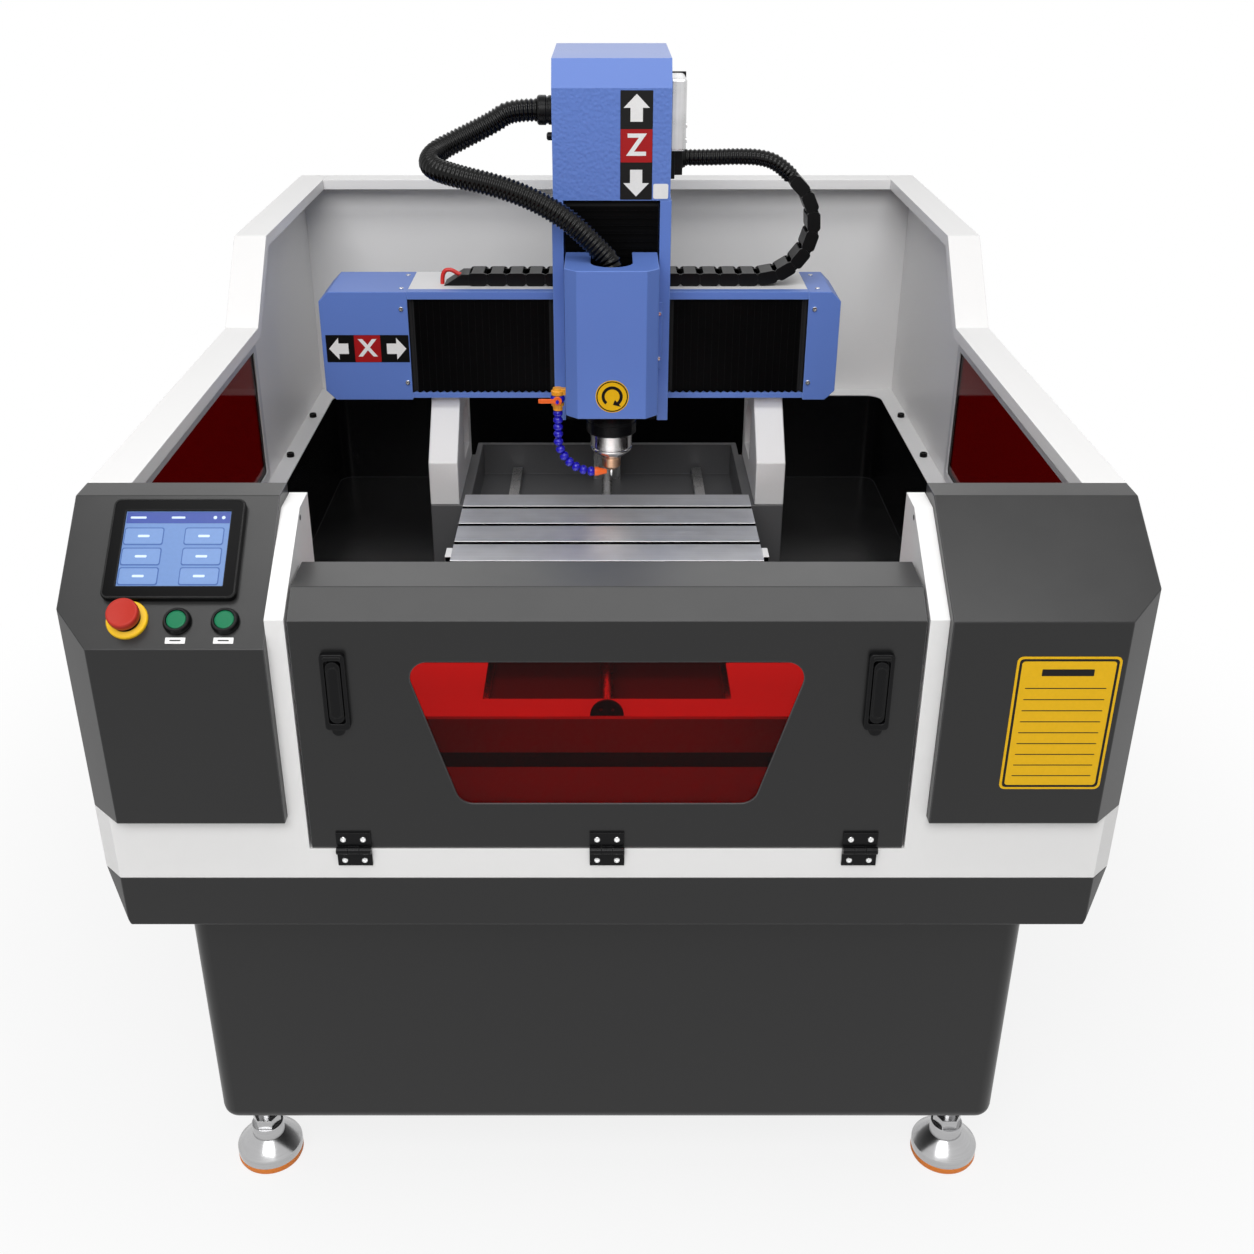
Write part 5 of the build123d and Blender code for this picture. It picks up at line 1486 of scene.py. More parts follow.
@dataclass
class Cables(Assembly):
    """Conduits, wires and the link chain."""

    conduit_route: list[Point] = field(default_factory=lambda: [
        (-0.1225, 0.3275, 1.426), (-0.1685, 0.3275, 1.426), (-0.1975, 0.3225, 1.407),
        (-0.2505, 0.3115, 1.383), (-0.3035, 0.2865, 1.36), (-0.3065, 0.2325, 1.345),
        (-0.2525, 0.1975, 1.335), (-0.1895, 0.1845, 1.324), (-0.1255, 0.1735, 1.303),
        (-0.0695, 0.1645, 1.273), (-0.0255, 0.1565, 1.236), (0.0035, 0.1525, 1.206)])
    feed_route: list[Point] = field(default_factory=lambda: [
        (0.1415, 0.3845, 1.3375), (0.1865, 0.3845, 1.3375), (0.2345, 0.3845, 1.3395),
        (0.2815, 0.3845, 1.3380), (0.3144, 0.3845, 1.3258), (0.3365, 0.3845, 1.3040)])
    tail_route: list[Point] = field(default_factory=lambda: [
        (-0.0010, 0.1531, 1.2107), (0.0060, 0.1522, 1.2035), (0.0080, 0.1525, 1.1850),
        (0.0080, 0.1525, 1.1600)])
    wire_route: list[Point] = field(default_factory=lambda: [
        (-0.259, 0.3765, 1.123), (-0.277, 0.3765, 1.128), (-0.293, 0.3765, 1.139),
        (-0.309, 0.3765, 1.133), (-0.309, 0.3765, 1.111)])
    conduit_hold: tuple[Point, Point] = ((0.0, 0.0, 1.39), (0.0, 0.0, 1.22))
    chain_hold: tuple[Point, Point] = ((0.0, 0.0, 1.14), (0.0, 0.0, 1.33))
    chain_pitch: float = 0.036
    chain_radius: float = 0.099
    chain_width: float = 0.060
    chain_height: float = 0.024
    straight_links: int = 15
    turn_links: int = 7
    turn_x: float = 0.281
    chain_y: float = 0.3845
    chain_z: float = 1.123
    plate: float = 0.005
    cheek: float = 0.004

    def cords(self) -> None:
        """Lay the two conduits and the wires."""
        spindle = Cord("spindle_conduit_tube", self.conduit_route, 0.040, RUBBER)
        tube = self.shop.stretch(spindle.tube(), RUBBER, Body.CARRIAGE, Body.HEAD, *self.conduit_hold,
                                 ("spindle_conduit",))
        round(spindle.length(), 3)
        spindle.line()
        tail = Cord("conduit_tail", self.tail_route, 0.039, RUBBER)
        self.shop.add(tail.tube(), RUBBER, Body.HEAD)
        feed = Cord("chain_conduit_tube", self.feed_route, 0.030, RUBBER)
        tube = self.shop.stretch(feed.tube(), RUBBER, Body.FRAME, Body.CARRIAGE, *self.chain_hold,
                                 ("chain_conduit",))
        round(feed.length(), 3)
        feed.line()
        wires = Cord("chain_wires_lead", self.wire_route, 0.008, WIRE_RED)
        lead = wires.spline()
        lead.data.bevel_depth = wires.diameter / 2
        lead.data.bevel_resolution = 4
        lead.data.use_fill_caps = True
        self.shop.add(lead, WIRE_RED, Body.FRAME, ("chain_wires",))
        round(wires.length(), 3)

    def link(self) -> Shape:
        """Shape one link of the chain.

        Returns:
            The link, round zero, running along its first axis.
        """
        shape = Shape()
        half = self.chain_pitch / 2
        tall = self.chain_height / 2
        for side in (-1, 1):
            outer = side * self.chain_width / 2
            inner = outer - side * self.plate
            place = frame_at((0.0, max(outer, inner), 0.0), FRONT)
            shape.prism(rounded(self.chain_pitch * 0.98, self.chain_height, 0.007), place, self.plate)
            place = frame_at((0.0, max(inner, inner - side * self.cheek), 0.0), FRONT)
            shape.prism(rounded(self.chain_pitch * 1.3, self.chain_height * 0.8, 0.009), place, self.cheek)
        across = self.chain_width / 2 - self.plate
        for level in (-1, 1):
            low = min(level * tall, level * (tall - self.cheek))
            shape.block((-half * 0.62, -across, low), (half * 0.62, across, low + self.cheek))
        return shape

    def chain(self) -> None:
        """Lay the link chain along the beam and round its turn."""
        places = []
        for i in range(self.straight_links):
            x = self.turn_x - (i + 0.5) * self.chain_pitch
            places.append(((x, self.chain_y, self.chain_z), RIGHT))
        step = self.chain_pitch / self.chain_radius
        bend = self.chain_radius * math.cos(step / 2)
        for i in range(self.turn_links):
            turn = (i + 0.5) * step
            x = self.turn_x + bend * math.sin(turn)
            z = self.chain_z + self.chain_radius - bend * math.cos(turn)
            places.append(((x, self.chain_y, z), (math.cos(turn), 0.0, math.sin(turn))))
        piece = Rows("X").piece("chain_links", self.link(), places, PLASTIC)
        self.shop.stretch(piece, PLASTIC, Body.FRAME, Body.CARRIAGE, *self.chain_hold, ("drag_chain",))
        end = self.turn_x - self.straight_links * self.chain_pitch
        floor = self.chain_z - self.chain_height / 2
        ceiling = floor + 0.021
        wedge = [(end - 0.046, floor), (end + 0.002, floor), (end + 0.002, ceiling), (end - 0.012, ceiling)]
        place = frame_at((0.0, self.chain_y + 0.026, 0.0), FRONT)
        self.shop.raised("chain_bracket", wedge, place, 0.052, PLASTIC, Body.FRAME, 1.0 * MM)

    def build(self) -> None:
        """Make all cables."""
        self.cords()
        self.chain()


@dataclass
class Enclosure(Assembly):
    """Cabinet, walls, tray and feet."""

    bolt_x: float = 0.632
    bolt_start: float = -0.3435
    bolt_pitch: float = 0.244
    bolt_count: int = 5
    well_half: float = 0.374
    well_floor: float = 0.681
    well_back: float = -0.6255
    cap_size: Flat = (0.023, 0.024)
    cap_depth: float = 5.0 * MM

    def build(self) -> None:
        """Dress the enclosure."""
        self.shop.skin("base_cabinet", GREY, 0.8 * MM, angle=ROUND_ANGLE)
        self.shop.skin("lower_skirt", GREY, 1.6 * MM)
        for node in ("front_frame", "left_side_wall", "right_side_wall", "back_wall", "tray_rim"):
            self.shop.skin(node, WHITE, 1.2 * MM)
        self.shop.skin("drip_tray", TRAY, angle=ROUND_ANGLE)
        # Side windows take the darker tint: painted shade.
        self.shop.skin("side_windows", SIDE_PANE_SHADED)
        self.shop.skin("control_unit", CASE, 2.0 * MM)
        self.window_trim()
        self.well()
        self.tray_bolts()
        self.feet()

    def window_trim(self) -> None:
        """Frame the side windows inside the walls."""
        low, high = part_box("side_windows")
        mid = ((low[1] + high[1]) / 2, (low[2] + high[2]) / 2)
        length, height = high[1] - low[1], high[2] - low[2]
        shape = Shape()
        outer = rounded(length + 0.014, height + 0.014, 0.014)
        inner = rounded(length - 0.020, height - 0.020, 0.008)
        for side, x in ((1, low[0] + 0.004), (-1, high[0] - 0.004)):
            place = frame_at((x, mid[0], mid[1]), (side, 0.0, 0.0), BACK)
            shape.ring(outer, inner, place, 3.0 * MM)
        self.shop.make(shape, "window_trim", GASKET, Body.FRAME, 0.8 * MM)

    def well(self) -> None:
        """Lay dark painted-shade sheets in the well behind the door, set the stop cap, and lay black
        painted-shade discs on each post's latch hole.
        """
        sheet = 0.5 * MM
        half, floor, back = self.well_half, self.well_floor, self.well_back
        # Sheets on the sill and on the apron: painted shade, where little light reaches behind the door.
        shade_sheet = Shape().block((-half, -0.8155, floor), (half, -0.6262, floor + sheet))
        shade_sheet.block((-half, back - sheet, 0.7052), (half, back, 0.7585))
        self.shop.make(shade_sheet, "well_lining", WELL_SHADE, Body.FRAME)
        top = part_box("tray_rim")[1][2]
        stand = frame_at((0.0, -0.6205, top), FRONT)
        wide, tall = self.cap_size
        steps = 24
        turns = [math.pi * step / steps for step in range(steps + 1)]
        arc = [(wide * math.cos(turn), tall * math.sin(turn)) for turn in turns]
        self.shop.raised("stop_cap", arc, stand, self.cap_depth, PLASTIC, Body.FRAME, 0.8 * MM)
        dots = Shape()
        for u in (-0.008, 0.008):
            dots.prism(circle(0.0022, 16, (u, 0.010)), stand, 0.3 * MM, self.cap_depth)
        self.shop.make(dots, "stop_cap_pins", SCREW_STEEL, Body.FRAME)
        # Black discs on the posts: painted shade inside each latch hole.
        hole_shades = Shape()
        for side in (-1, 1):
            place = frame_at((side * 0.377, -0.678, 1.077), (-side, 0.0, 0.0), BACK)
            hole_shades.prism(circle(0.0035, 20), place, 0.2 * MM)
        self.shop.make(hole_shades, "post_holes", BLACK_PRINT_AND_SHADE, Body.FRAME)

    def tray_bolts(self) -> None:
        """Bolt the tray rim down."""
        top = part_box("tray_rim")[1][2]
        places = []
        for side in (-1, 1):
            for i in range(self.bolt_count):
                y = self.bolt_start + i * self.bolt_pitch
                places.append(((side * self.bolt_x, y, top), UP))
        self.shop.screws("tray_bolts", places, 7.5 * MM, 8.0 * MM, Recess.HEX, BLACK, Body.FRAME)

    def feet(self) -> None:
        """Turn the levelling feet: cone, collar, nut and stem over a rubber ring."""
        low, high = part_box("foot_pads")
        inset = 0.050
        sides = (low[0] + inset, high[0] - inset)
        ends = (low[1] + inset, high[1] - inset)
        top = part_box("foot_cups")[1][2]
        cups, nuts, rings = Shape(), Shape(), Shape()
        cone = [(0.049, 0.012), (0.0495, 0.016), (0.0495, 0.025), (0.0485, 0.027), (0.026, 0.046),
                (0.0245, 0.047), (0.0245, 0.064), (0.0235, 0.066), (0.012, 0.066)]
        pad = [(0.044, 0.0), (0.0475, 0.0015), (0.0495, 0.006), (0.0495, 0.0125), (0.047, 0.0135)]
        stem = [(0.0125, 0.06), (0.0125, top)]
        nut = circle(0.0215, 6)
        for place in (Matrix.Translation((x, y, 0.0)) for x in sides for y in ends):
            cups.lathe(cone, place, 56)
            rings.lathe(pad, place, 56)
            nuts.lathe(stem, place, 28)
            nuts.prism(nut, place, 0.016, 0.066)
            nuts.prism(nut, place, 0.012, top - 0.014)
        self.shop.make(cups, "foot_cones", CHROME, Body.FRAME, replaces=("foot_cups",), angle=ROUND_ANGLE)
        self.shop.make(nuts, "foot_stems", CHROME, Body.FRAME, 1.0 * MM)
        self.shop.make(rings, "foot_rings", ORANGE_RUBBER, Body.FRAME, replaces=("foot_pads",), angle=40.0)


@dataclass
class Consoles(Assembly):
    """The two front consoles and what is mounted on them."""

    panel_origin: Point = (-0.525, -0.8325, 0.975)
    rise: float = 0.129
    run: float = 0.160
    screen: Flat = (0.007, 0.129)
    screen_size: Flat = (0.127, 0.101)
    glass_height: float = 0.0065
    buttons: tuple[Flat, Flat] = ((0.0206, 0.0355), (0.077, 0.0355))
    estop: Flat = (-0.0386, 0.0375)
    label_v: float = 0.0115
    chart_x: Flat = (0.480, 0.603)
    chart_z: Flat = (0.782, 0.966)

    def panel(self, u: float = 0.0, v: float = 0.0, lift: float = 0.0) -> Matrix:
        """Place a drawing on the sloping panel.

        Args:
            u: Shift to the right.
            v: Shift up the slope.
            lift: Height over the panel.

        Returns:
            The drawing's matrix.
        """
        slope = math.atan2(self.rise, self.run)
        normal = (0.0, -math.sin(slope), math.cos(slope))
        return frame_at(self.panel_origin, normal) @ Matrix.Translation((u, v, lift))

    def build(self) -> None:
        """Dress the consoles."""
        self.shop.skin("left_console", GREY, 2.2 * MM, 3, 25.0)
        self.shop.skin("right_console", GREY, 2.2 * MM, 3, 25.0)
        self.shop.skin("screen_bezel", BEZEL, 0.8 * MM)
        lip = self.panel(self.screen[0], self.screen[1], 0.0088)
        edge = Shape().ring(rounded(0.1585, 0.1325, 0.0085), rounded(0.1545, 0.1285, 0.0065), lip, 0.9 * MM)
        self.shop.make(edge, "screen_lip", BEZEL, Body.FRAME, 0.4 * MM)
        self.display()
        self.controls()
        self.labels()
        self.chart()

    def display(self) -> None:
        """Draw the screen's header and tiles."""
        width, height = self.screen_size
        self.shop.skin("screen_display", SCREEN_BLUE)
        place = self.panel(self.screen[0], self.screen[1], self.glass_height)
        film = 0.25 * MM
        top = height * 0.415
        head = rounded(width * 0.985, height * 0.15, 0.001, (0.0, top))
        self.shop.raised("screen_header", head, place, film, SCREEN_HEAD, Body.FRAME)
        tiles, rims, marks = Shape(), Shape(), Shape()
        for u in (-0.305, 0.265):
            for v in (0.165, -0.105, -0.365):
                centre = (u * width, v * height)
                rims.prism(rounded(width * 0.375, height * 0.235, 0.003, centre), place, film)
                tiles.prism(rounded(width * 0.355, height * 0.205, 0.0025, centre), place, film * 2)
                marks.prism(rounded(width * 0.11, height * 0.032, 0.0012, centre), place, film * 3)
        for u, share in ((-0.38, 0.15), (0.0, 0.13)):
            marks.prism(rounded(width * share, 0.0028, 0.001, (u * width, top)), place, film * 2)
        for u in (0.35, 0.43):
            marks.prism(circle(0.0022, 16, (u * width, top)), place, film * 2)
        self.shop.make(rims, "screen_rims", SCREEN_LINE, Body.FRAME)
        self.shop.make(tiles, "screen_tiles", SCREEN_TILE, Body.FRAME)
        self.shop.make(marks, "screen_marks", SCREEN_MARK, Body.FRAME)

    def controls(self) -> None:
        """Turn the buttons, their bezels and the emergency stop."""
        stop = self.panel(*self.estop)
        ring = [(0.0245, 0.0), (0.0245, 0.003), (0.0235, 0.0045), (0.0175, 0.005), (0.0165, 0.0055),
                (0.0095, 0.0055)]
        self.shop.turned("estop_ring", ring, stop, 56, YELLOW, Body.FRAME, ("button_bezels",))
        neck = [(0.0095, 0.0), (0.0170, 0.0052), (0.0170, 0.0060), (0.0140, 0.0064), (0.0095, 0.0064)]
        self.shop.turned("estop_neck", neck, stop, 48, PLASTIC, Body.FRAME)
        skirt = [(0.009, -0.012), (0.009, 0.0105), (0.0160, 0.0112), (0.0183, 0.0122), (0.0188, 0.0135),
                 (0.0190, 0.0200), (0.0188, 0.0224), (0.0181, 0.0238), (0.0166, 0.0244), (0.0156, 0.0241),
                 (0.0, 0.0246)]
        self.shop.turned("estop_mushroom", skirt, stop, 56, RED_PLASTIC, Body.ESTOP, ("estop_button",), 50.0)
        bezels = Shape()
        bezel = [(0.0170, 0.0), (0.0170, 0.0028), (0.0160, 0.0045), (0.0152, 0.0075), (0.0142, 0.0085),
                 (0.0124, 0.0085), (0.0121, 0.0050), (0.0121, 0.0003)]
        for place in self.buttons:
            bezels.lathe(bezel, self.panel(*place), 48)
        self.shop.make(bezels, "button_rings", BLACK, Body.FRAME, angle=ROUND_ANGLE)
        cap = [(0.0117, -0.012), (0.0117, 0.0068), (0.0112, 0.0078), (0.0102, 0.0082), (0.0098, 0.0076),
               (0.0, 0.0078)]
        nodes = ((Body.START, "start_button"), (Body.STOP, "stop_button"))
        for place, (body, node) in zip(self.buttons, nodes):
            self.shop.turned(f"{node}_cap", cap, self.panel(*place), 48, GREEN, body, (node,))

    def labels(self) -> None:
        """Stick the blank name plates under the buttons."""
        plates, lines = Shape(), Shape()
        for u, _ in self.buttons:
            place = self.panel(u, self.label_v)
            plates.prism(rounded(0.0235, 0.0078, 0.0008), place, 0.6 * MM)
            lines.prism(rounded(0.0130, 0.0016, 0.0006), place, 0.75 * MM)
        self.shop.make(plates, "name_plates", PRINT_WHITE, Body.FRAME)
        self.shop.make(lines, "name_plate_lines", BLACK_PRINT_AND_SHADE, Body.FRAME)

    def chart(self) -> None:
        """Fix the blank ruled chart plate to the right console."""
        width = self.chart_x[1] - self.chart_x[0]
        height = self.chart_z[1] - self.chart_z[0]
        middle = (sum(self.chart_x) / 2, self.panel_origin[1], sum(self.chart_z) / 2)
        place = frame_at(middle, FRONT)
        plate = rounded(width, height, 0.007)
        self.shop.raised("chart_plate", plate, place, 0.5 * MM, PRINT_YELLOW, Body.FRAME)
        film = 0.65 * MM
        outer = rounded(width - 0.006, height - 0.006, 0.005)
        inner = rounded(width - 0.012, height - 0.012, 0.004)
        ink = Shape().ring(outer, inner, place, film)
        ink.prism(rounded(width * 0.5, 0.009, 0.001, (0.0, height * 0.385)), place, film)
        for row in range(9):
            v = height * 0.27 - row * height * 0.083
            ink.prism(rounded(width * 0.78, 0.0012, 0.0003, (0.0, v)), place, film)
        self.shop.make(ink, "chart_lines", BLACK_PRINT_AND_SHADE, Body.FRAME)


@dataclass
class Door(Assembly):
    """Drop-down front door with its hinges and latches."""

    latch_x: float = 0.324
    latch_z: float = 0.9125
    face_y: float = -0.8175
    hinge_xs: tuple[float, float, float] = (-0.320, 0.0, 0.320)
    hinge_z: float = 0.6825

    def build(self) -> None:
        """Dress the door."""
        self.shop.skin("door_panel", GREY, 1.8 * MM, 3, 25.0)
        self.shop.skin("door_window", DOOR_PANE)
        self.shop.skin("hinge_frame_leaves", BLACK, 0.5 * MM)
        self.shop.skin("hinge_door_leaves", BLACK, 0.5 * MM)
        self.hinge_screws()
        self.latches()

    def hinge_screws(self) -> None:
        """Screw the hinge leaves down."""
        leaves = ((-1, Body.FRAME, "lower_hinge_screws"), (1, Body.DOOR, "upper_hinge_screws"))
        for way, body, name in leaves:
            places = []
            for x in self.hinge_xs:
                for side in (-1, 1):
                    spot = (x + side * 0.0125, self.face_y - 0.003, self.hinge_z + way * 0.0158)
                    places.append((spot, FRONT))
            self.shop.screws(name, places, 4.0 * MM, 2.2 * MM, Recess.CROSS, SCREW_STEEL, body)

    def latches(self) -> None:
        """Shape the latch pans and levers."""
        pans, caps = Shape(), Shape()
        outer = rounded(0.030, 0.103, 0.005)
        inner = rounded(0.020, 0.086, 0.004)
        for side in (-1, 1):
            place = frame_at((side * self.latch_x, self.face_y, self.latch_z), FRONT)
            pans.ring(outer, inner, place, 8.0 * MM)
            pans.prism(rounded(0.024, 0.096, 0.003), place, 15.0 * MM, -14.0 * MM)
            pans.prism(rounded(0.016, 0.016, 0.0075, (0.0, -0.0525)), place, 6.5 * MM)
            caps.prism(rounded(0.022, 0.0045, 0.002, (0.0, 0.0465)), place, 8.6 * MM)
        self.shop.make(pans, "latch_pans", BLACK, Body.DOOR, 1.0 * MM, ("latch_bodies",))
        self.shop.make(caps, "latch_caps", PLASTIC, Body.DOOR, 0.8 * MM)
        levers = ((-1, Body.LEFT_LATCH, "left_latch_lever"), (1, Body.RIGHT_LATCH, "right_latch_lever"))
        rim = rounded(0.0140, 0.070, 0.0068)
        dish = rounded(0.0110, 0.067, 0.0054)
        for side, body, node in levers:
            place = frame_at((side * self.latch_x, self.face_y, self.latch_z), FRONT)
            lever = Shape().prism(rounded(0.0175, 0.0835, 0.0086), place, 5.8 * MM, 2.2 * MM)
            lever.ring(rim, dish, place, 0.7 * MM, 8.0 * MM)
            self.shop.make(lever, f"{node}_grip", BLACK, body, 0.9 * MM, (node,))


@dataclass
class BedAndTable(Assembly):
    """Bed casting, legs, slotted table and their drives."""

    def build(self) -> None:
        """Dress bed, legs, table and drives."""
        self.shop.skin("machine_bed", BED_GREY, 2.0 * MM)
        self.shop.skin("gantry_legs", LEG_WHITE, 2.5 * MM, 3)
        self.shop.skin("work_table", TABLE_METAL, 0.6 * MM)
        self.shop.skin("table_saddle", BED_GREY, 1.0 * MM)
        for node in ("guide_rails", "screw_bearings", "x_screw", "y_screw"):
            self.shop.skin(node, STEEL, angle=ROUND_ANGLE)
        self.shop.skin("axis_motors", MOTOR, 2.0 * MM)
        low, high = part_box("work_table")
        clips = Shape()
        for side, x in ((-1, low[0]), (1, high[0])):
            near, far = sorted((x, x - side * 0.010))
            clips.block((near, -0.0975, high[2] - 0.022), (far, -0.0615, high[2] + 0.001))
        self.shop.make(clips, "table_clips", WHITE, Body.TABLE, 0.8 * MM)


@dataclass
class Mark:
    """Axis mark: a black strip with two arrows and a lettered red square."""

    name: str
    letter: str
    place: Matrix
    length: float
    width: float
    square: float
    upright: bool

    def arrow(self, way: int) -> list[Flat]:
        """Outline of one arrow.

        Args:
            way: 1 for the arrow towards the strip's positive end, -1 for the other.

        Returns:
            The outline, counter-clockwise.
        """
        tip = self.length / 2 - self.width * 0.10
        neck = self.square / 2 + self.width * 0.22
        shoulder = (tip + neck) / 2
        wide, thin = self.width * 0.40, self.width * 0.19
        half = [(neck, -thin), (shoulder, -thin), (shoulder, -wide), (tip, 0.0), (shoulder, wide),
                (shoulder, thin), (neck, thin)]
        points = [(way * u, way * v) for u, v in half]
        return [(-v, u) for u, v in points] if self.upright else points

    def build(self, shop: Workshop, body: Body) -> None:
        """Make the mark.

        Args:
            shop: Workshop that fixes pieces.
            body: Body that it is stuck to.
        """
        size = (self.width, self.length) if self.upright else (self.length, self.width)
        film = 0.3 * MM
        corner = 1.0 * MM
        shop.raised(f"{self.name}_strip", rounded(*size, corner), self.place, film, BLACK_PRINT_AND_SHADE, body)
        arrows = Shape()
        for way in (-1, 1):
            arrows.prism(self.arrow(way), self.place, film * 2)
        shop.make(arrows, f"{self.name}_arrows", PRINT_WHITE, body)
        side = self.square
        wide = self.width * 0.98
        patch = rounded(wide, side, corner) if self.upright else rounded(side, wide, corner)
        shop.raised(f"{self.name}_square", patch, self.place, film * 2, PRINT_RED, body)
        text = bpy.data.curves.new(f"{self.name}_letter", "FONT")
        text.body = self.letter
        text.size = side * 0.92
        text.align_x = "CENTER"
        text.align_y = "CENTER"
        text.offset = 1.2 * MM
        text.extrude = film / 2
        line = bpy.data.objects.new(f"{self.name}_text", text)
        bpy.context.scene.collection.objects.link(line)
        mesh = final_mesh(line)
        bpy.data.objects.remove(line)
        mesh.transform(self.place @ Matrix.Translation((0.0, 0.0, film * 2.5)))
        shop.add(show(f"{self.name}_letter", mesh), PRINT_WHITE, body)


@dataclass
class Beam(Assembly):
    """Cross beam with its end covers and bellows."""

    face_y: float = 0.3125
    back_y: float = 0.4725
    low_z: float = 0.905
    top_z: float = 1.111
    inner: Flat = (-0.369, 0.372)
    outer: Flat = (-0.533, 0.432)
    chamfer: float = 0.018
    lip_z: float = 0.909
    lip_sheet: float = 0.0012
    screws: tuple[Flat, ...] = ((-0.381, 1.079), (-0.377, 0.939), (0.384, 1.079), (0.380, 0.939))

    def build(self) -> None:
        """Dress the beam."""
        self.shop.skin("x_beam", LEG_WHITE, 1.0 * MM)
        self.covers()
        for node, near, far in (("x_bellows_left", 0, 1), ("x_bellows_right", 1, 0)):
            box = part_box(node)
            start, end = (box[near][0], 0.0, 0.0), (box[far][0], 0.0, 0.0)
            self.shop.blended(node, PLEATS, Body.FRAME, Body.CARRIAGE, start, end)
        heads = [((x, self.face_y, z), FRONT) for x, z in self.screws]
        heads += [((x, y, self.top_z), UP) for x in (-0.381, 0.390) for y in (0.335, 0.44)]
        self.shop.screws("cover_screws", heads, 4.5 * MM, 2.2 * MM, Recess.CROSS, SCREW_STEEL, Body.FRAME)
        place = frame_at((-0.448, self.face_y, 1.0045), FRONT)
        Mark("cross_mark", "X", place, 0.155, 0.052, 0.049, False).build(self.shop, Body.FRAME)

    def covers(self) -> None:
        """Fold the end covers and the lips above and below the bellows."""
        place = frame_at((0.0, self.back_y, 0.0), FRONT)
        low, top, cut = self.low_z, self.top_z, self.chamfer
        depth = self.back_y - self.face_y
        ends = Shape()
        for near, far in zip(self.inner, self.outer):
            side = 1.0 if far > near else -1.0
            bend = far - side * cut
            turn = [(near, low), (bend, low), (far, low + cut), (far, top - cut), (bend, top), (near, top)]
            ends.prism(turn if side > 0 else list(reversed(turn)), place, depth)
        self.shop.make(ends, "beam_end_covers", BLUE, Body.FRAME, 1.4 * MM, ("beam_covers",), 3, 25.0)
        left, right = self.inner
        face, foot, sheet = self.face_y, self.lip_z, self.lip_sheet
        lips = Shape()
        lips.block((left, face, top - 0.014), (right, face + 0.004, top))
        lips.block((left, face + 0.004, top - 0.004), (right, face + 0.022, top))
        lips.block((left, face, foot), (right, face + sheet, 0.9192))
        lips.block((left, face + sheet, foot), (right, face + 0.030, 0.9175))
        self.shop.make(lips, "bellows_lips", BLUE, Body.FRAME, 0.5 * MM)


@dataclass
class Carriage(Assembly):
    """Column, hood and cable fittings that ride on the beam."""

    hood_y: float = 0.2285

    def build(self) -> None:
        """Dress the carriage."""
        self.shop.skin("z_column", BLUE, 1.2 * MM)
        self.shop.skin("z_motor_hood", HAMMERED, 2.0 * MM, 3, 25.0)
        self.shop.skin("x_saddle", STEEL, 1.0 * MM)
        self.shop.skin("z_screw", STEEL, angle=ROUND_ANGLE)
        self.shop.skin("z_motor", MOTOR, 1.0 * MM)
        for node, near, far in (("z_bellows_upper", 1, 0), ("z_bellows_lower", 0, 1)):
            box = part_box(node)
            start, end = (0.0, 0.0, box[near][2]), (0.0, 0.0, box[far][2])
            self.shop.blended(node, PLEATS, Body.CARRIAGE, Body.HEAD, start, end)
        self.fittings()
        place = frame_at((0.050, self.hood_y, 1.3805), FRONT)
        Mark("upright_mark", "Z", place, 0.178, 0.055, 0.054, True).build(self.shop, Body.CARRIAGE)
        place = frame_at((0.0925, self.hood_y, 1.3055), FRONT)
        patch = rounded(0.026, 0.025, 0.003)
        self.shop.raised("hood_patch", patch, place, 0.4 * MM, PRINT_WHITE, Body.CARRIAGE)

    def fittings(self) -> None:
        """Shape the junction box, plug and conduit gland."""
        low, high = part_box("cable_fittings")
        box = Shape()
        side = high[0] - 0.032
        box.block((side, 0.3125, 1.358), (side + 0.029, 0.4085, 1.479))
        # Its finish paints highlight and shade bands across the box.
        self.shop.make(box, "junction_box", ALLOY_BOX_PAINTED_SHEEN, Body.CARRIAGE, 5.0 * MM, ("cable_fittings",), 4)
        plate = Shape().block((side, 0.4085, 1.356), (side + 0.0318, 0.4125, 1.481))
        self.shop.make(plate, "junction_plate", PLASTIC, Body.CARRIAGE, 1.0 * MM)
        plug = Shape()
        plug.block((side, 0.3525, 1.305), (side + 0.012, 0.4165, 1.358))
        plug.block((side + 0.010, 0.3575, 1.311), (side + 0.026, 0.4115, 1.358))
        nozzle = frame_at((side + 0.022, 0.3845, 1.3375), RIGHT, BACK)
        plug.lathe([(0.0185, 0.0), (0.0185, 0.006), (0.017, 0.0075), (0.017, 0.0100)], nozzle, 32)
        self.shop.make(plug, "feed_plug", PLASTIC, Body.CARRIAGE, 1.5 * MM)
        gland = Shape()
        axis = frame_at((low[0] + 0.029, 0.3275, 1.426), LEFT, BACK)
        sleeve = [(0.0245, 0.0), (0.0245, 0.008), (0.0225, 0.0095), (0.0225, 0.012), (0.025, 0.0135),
                  (0.025, 0.025), (0.0235, 0.0275), (0.0205, 0.029)]
        gland.lathe(sleeve, axis, 40)
        pin = frame_at((low[0] + 0.029, 0.3075, 1.385), LEFT, BACK)
        gland.lathe([(0.007, 0.0), (0.007, 0.010), (0.004, 0.012), (0.0, 0.012)], pin, 20)
        self.shop.make(gland, "conduit_gland", PLASTIC, Body.CARRIAGE, angle=ROUND_ANGLE)
        rings = [((side + 0.029, 0.335, z), RIGHT) for z in (1.375, 1.4)]
        self.shop.screws("box_screws", rings, 5.0 * MM, 2.4 * MM, Recess.HEX, SCREW_STEEL, Body.CARRIAGE)


